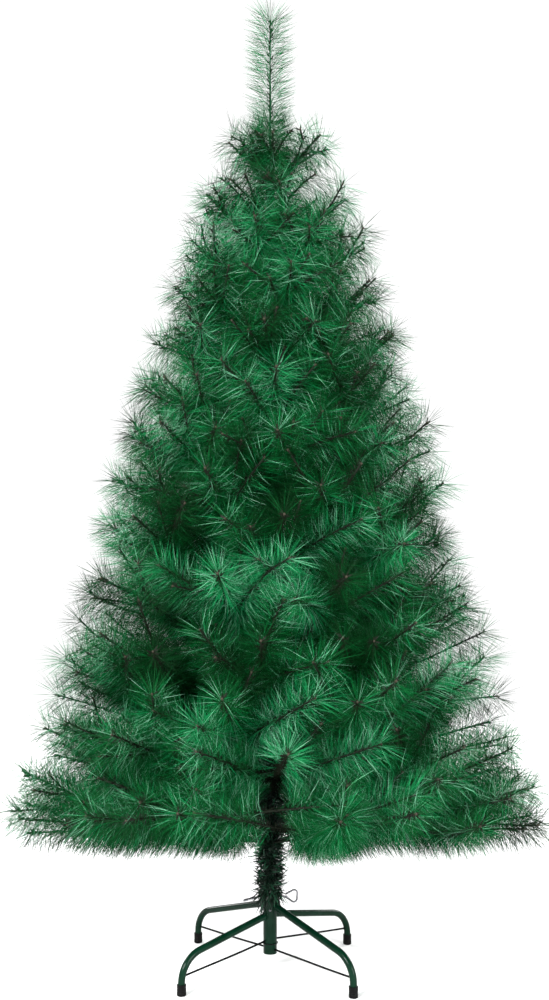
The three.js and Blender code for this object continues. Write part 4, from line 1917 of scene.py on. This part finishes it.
@dataclass
class EyeBolt:
    """A screw through the socket's wall, bent from wire into a three-cornered eye.

    Attributes:
        side: Which bolt it is.
        azimuth: Where it points, in degrees.
        roll: How far its eye is turned about the screw, in degrees, 90 being upright.
        droop: How far the screw tips down, in degrees.
        socket: The tube that it goes into.
        height: Where on the tube it is.
        shank: The length of the screw and the neck, out to the eye.
        eye: The middle radius of the eye.
        lobes: How three-cornered the eye is, as a share of its radius.
        eye_middle: How far past the shank its middle is, in radii of the eye.
        opening: Where round the eye its wire starts and ends, in degrees.
        lift: How far out of the eye's plane the wire's ends lie, in radii of the wire.
        wire: The radius of the wire.
        inside: How far the screw reaches in past the tube's surface.
        threaded: The share of the shank that is threaded.
        thread: How far the thread stands out and goes in.
        thread_pitch: The length of one turn of it.
        neck_start: Where along the shank the neck starts, inside the screw, as a share.
        neck_bow: How far the neck bows sideways.
    """

    side: str
    azimuth: float
    roll: float
    droop: float
    socket: Socket
    height: float = 137 * MM
    shank: float = 17 * MM
    eye: float = 10.5 * MM
    lobes: float = 0.16
    eye_middle: float = 1.12
    opening: tuple[float, float] = (196.0, 528.0)
    lift: float = 0.9
    wire: float = 1.8 * MM
    inside: float = 3 * MM
    threaded: float = 0.62
    thread: float = 0.28 * MM
    thread_pitch: float = 1.3 * MM
    neck_start: float = 0.3
    neck_bow: float = 0.6 * MM

    def carried(self, surface: Surface) -> Surface:
        """A surface turned by roll, droop and azimuth and set on the socket's wall.

        Args:
            surface: The surface, with the screw along X from the wall.

        Returns:
            The surface in its place.
        """
        roll, droop = math.radians(self.roll), math.radians(self.droop)
        x, y, z = surface.points.T
        y, z = y * math.cos(roll) - z * math.sin(roll), y * math.sin(roll) + z * math.cos(roll)
        x, z = x * math.cos(droop) + z * math.sin(droop), z * math.cos(droop) - x * math.sin(droop)
        tipped = Surface(np.stack([x, y, z], axis=1), surface.quads, surface.triangles)
        placed = tipped.moved((self.socket.radius, 0.0, self.height))
        return placed.turned(math.radians(self.azimuth))

    def eye_wire(self) -> Surface:
        """The neck and the eye, whose outline is r = R (1 + lobes cos 3a), a from the neck's side.

        The wire climbs all the way round, so that its end passes over its start.

        Returns:
            The closed wire.
        """
        turn = np.radians(np.linspace(*self.opening, num=72))
        radius = self.eye * (1 + self.lobes * np.cos(3 * (turn - math.pi)))
        middle = self.shank + self.eye_middle * self.eye
        lift = self.wire * self.lift * np.linspace(-1.0, 1.0, len(turn))
        loop = np.stack([middle + radius * np.cos(turn), radius * np.sin(turn), lift], axis=1)
        s = np.linspace(0.0, 1.0, num=16)[:-1, None]
        neck = np.array([self.neck_start * self.shank, 0.0, 0.0])
        sideways = np.array([0.0, 1.0, 0.0])
        lead = (1 - s) * neck + s * loop[0] - sideways * (self.neck_bow * np.sin(math.pi * s))
        path = np.concatenate([lead, loop])
        return swept(path, np.full(len(path), self.wire), sides=14)

    def screw(self) -> Surface:
        """The threaded shank: radius r + t cos(a - 2 pi x / p), which winds as a thread does.

        Returns:
            The closed screw.
        """
        rows, sides = 90, 20
        along = np.linspace(-self.inside, self.threaded * self.shank, rows)[:, None]
        turn = 2 * math.pi * np.arange(sides)[None, :] / sides
        radius = self.wire + self.thread * np.cos(turn - 2 * math.pi * along / self.thread_pitch)
        grid = np.stack([along + 0 * turn, radius * np.cos(turn), radius * np.sin(turn)], axis=-1)
        points = np.concatenate([grid.reshape(-1, 3), [[along[0, 0], 0, 0], [along[-1, 0], 0, 0]]])
        across = np.arange(sides)
        following = (across + 1) % sides
        last = (rows - 1) * sides
        foot, head = rows * sides, rows * sides + 1
        caps = [np.stack([foot + 0 * across, following, across], axis=-1),
                np.stack([head + 0 * across, last + across, last + following], axis=-1)]
        return Surface(points, grid_quads(rows, sides), np.concatenate(caps))

    def build(self, plating: bpy.types.Material) -> None:
        """The bolt as one piece of the bright metal given."""
        whole = self.carried(Surface.joined([self.screw(), self.eye_wire()]))
        hand_over(whole, f"bolt_{self.side}", plating, "bolt_chrome", [f"eye_bolt_{self.side}"])


@dataclass
class Stand:
    """The folding stand: the socket, four legs and two eye bolts.

    Attributes:
        socket: The tube that carries the rest.
    """

    socket: Socket = field(default_factory=Socket)

    def build(self) -> None:
        """Every piece of the stand."""
        enamel, stay = STAND_ENAMEL.material(), STAY_ENAMEL.material()
        plastic, plating = FOOT_PLASTIC.material(), BOLT_PLATING.material()
        self.socket.build(enamel, stay, plating)
        for place in Place:
            Leg(place, self.socket).build(enamel, stay, plastic)
        EyeBolt("right", azimuth=0.0, roll=90.0, droop=4.0, socket=self.socket).build(plating)
        EyeBolt("left", azimuth=188.0, roll=10.0, droop=14.0, socket=self.socket).build(plating)


# ---------- Studio ----------


@dataclass
class Studio:
    """The pale floor, the soft lights and the camera.

    Attributes:
        floor_half: Half of the floor's side.
        eye: Where the camera stands.
        lens: Its focal length in millimetres.
        film: The film's longer side in millimetres.
        shift: How far the picture is shifted, across and up, as shares of that.
        clip: The nearest and the furthest distance that the camera sees.
        world: The strength of the white surroundings.
        lights: Each light's name, place, target, side and power in watts.
    """

    floor_half: float = 14.0
    eye: tuple[float, float, float] = (0.0, -2.076, 0.692)
    lens: float = 40.07
    film: float = 36.0
    shift: tuple[float, float] = (0.0044, 0.097)
    clip: tuple[float, float] = (0.05, 60.0)
    world: float = 1.1
    lights: tuple[tuple[str, tuple, tuple, float, float], ...] = (
        ("key_light", (-2.1, -3.0, 2.5), (0.0, 0.0, 0.85), 1.4, 295.0),
        ("fill_light", (2.6, -2.6, 1.4), (0.0, 0.0, 0.8), 1.4, 130.0),
        ("left_back_light", (-2.8, 2.6, 2.0), (0.0, 0.0, 0.85), 1.4, 110.0),
        ("right_back_light", (2.8, 2.6, 2.0), (0.0, 0.0, 0.85), 1.4, 110.0),
    )

    def build_camera(self) -> None:
        """The camera, level, looking along +Y."""
        data = bpy.data.cameras.new("camera")
        data.lens = self.lens
        data.sensor_width = self.film
        data.shift_x, data.shift_y = self.shift
        data.clip_start, data.clip_end = self.clip
        camera = bpy.data.objects.new("camera", data)
        camera.location = self.eye
        camera.rotation_euler = (math.pi / 2, 0.0, 0.0)
        bpy.context.scene.collection.objects.link(camera)
        bpy.context.scene.camera = camera

    def build_light(self, name: str, place: Sequence[float], target: Sequence[float], size: float,
                    power: float) -> None:
        """One square soft light that faces a point.

        Args:
            name: Its name.
            place: Where it stands.
            target: The point that it faces.
            size: Its side.
            power: Its power in watts.
        """
        data = bpy.data.lights.new(name, "AREA")
        data.shape, data.size, data.energy = "SQUARE", size, power
        light = bpy.data.objects.new(name, data)
        away = unit(np.array(place) - np.array(target))
        light.location = place
        light.rotation_euler = (math.acos(away[2]), 0.0, math.atan2(away[1], away[0]) + math.pi / 2)
        bpy.context.scene.collection.objects.link(light)

    def build_floor(self) -> None:
        """The floor, one face."""
        half = self.floor_half
        points = [[-half, -half, 0.0], [half, -half, 0.0], [half, half, 0.0], [-half, half, 0.0]]
        floor = Surface(np.array(points), np.array([[0, 1, 2, 3]]))
        floor.as_object("studio_floor", FLOOR_PAINT.material(), smooth=False)

    def build(self) -> None:
        """Everything round the object."""
        scene = bpy.context.scene
        scene.view_settings.view_transform = "Standard"
        world = bpy.data.worlds.new("white_room")
        world.use_nodes = True
        background = world.node_tree.nodes["Background"]
        background.inputs["Color"].default_value = (1.0, 1.0, 1.0, 1.0)
        background.inputs["Strength"].default_value = self.world
        scene.world = world
        self.build_camera()
        for light in self.lights:
            self.build_light(*light)
        self.build_floor()


def main() -> None:
    """Builds the studio, the stand, the trunk and the crown."""
    logging.basicConfig(level=logging.INFO, format="%(name)s: %(message)s")
    rng = np.random.default_rng(SEED)
    Studio().build()
    stand = Stand()
    stand.build()

    crown = Crown(Outline(), rng)
    pole = Pole()
    pole.build(crown.hub_height(crown.whorl_share()))
    Tinsel(rng).build(pole.radii[0], stand.socket.radius)

    boughs, twigs = crown.grow()
    foliage = Foliage(crown, Needles(rng))
    leader = crown.leader()
    foliage.build_wires(Sprays.joined([boughs, leader]), twigs)
    foliage.build_needles(Sprays.joined([boughs, twigs, leader, crown.wrap()]))
    LOG.info("%d wires, %.1f m of them", len(boughs.paths) + len(twigs.paths),
             boughs.lengths().sum() + twigs.lengths().sum())

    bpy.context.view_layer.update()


if __name__ == "__main__":
    main()
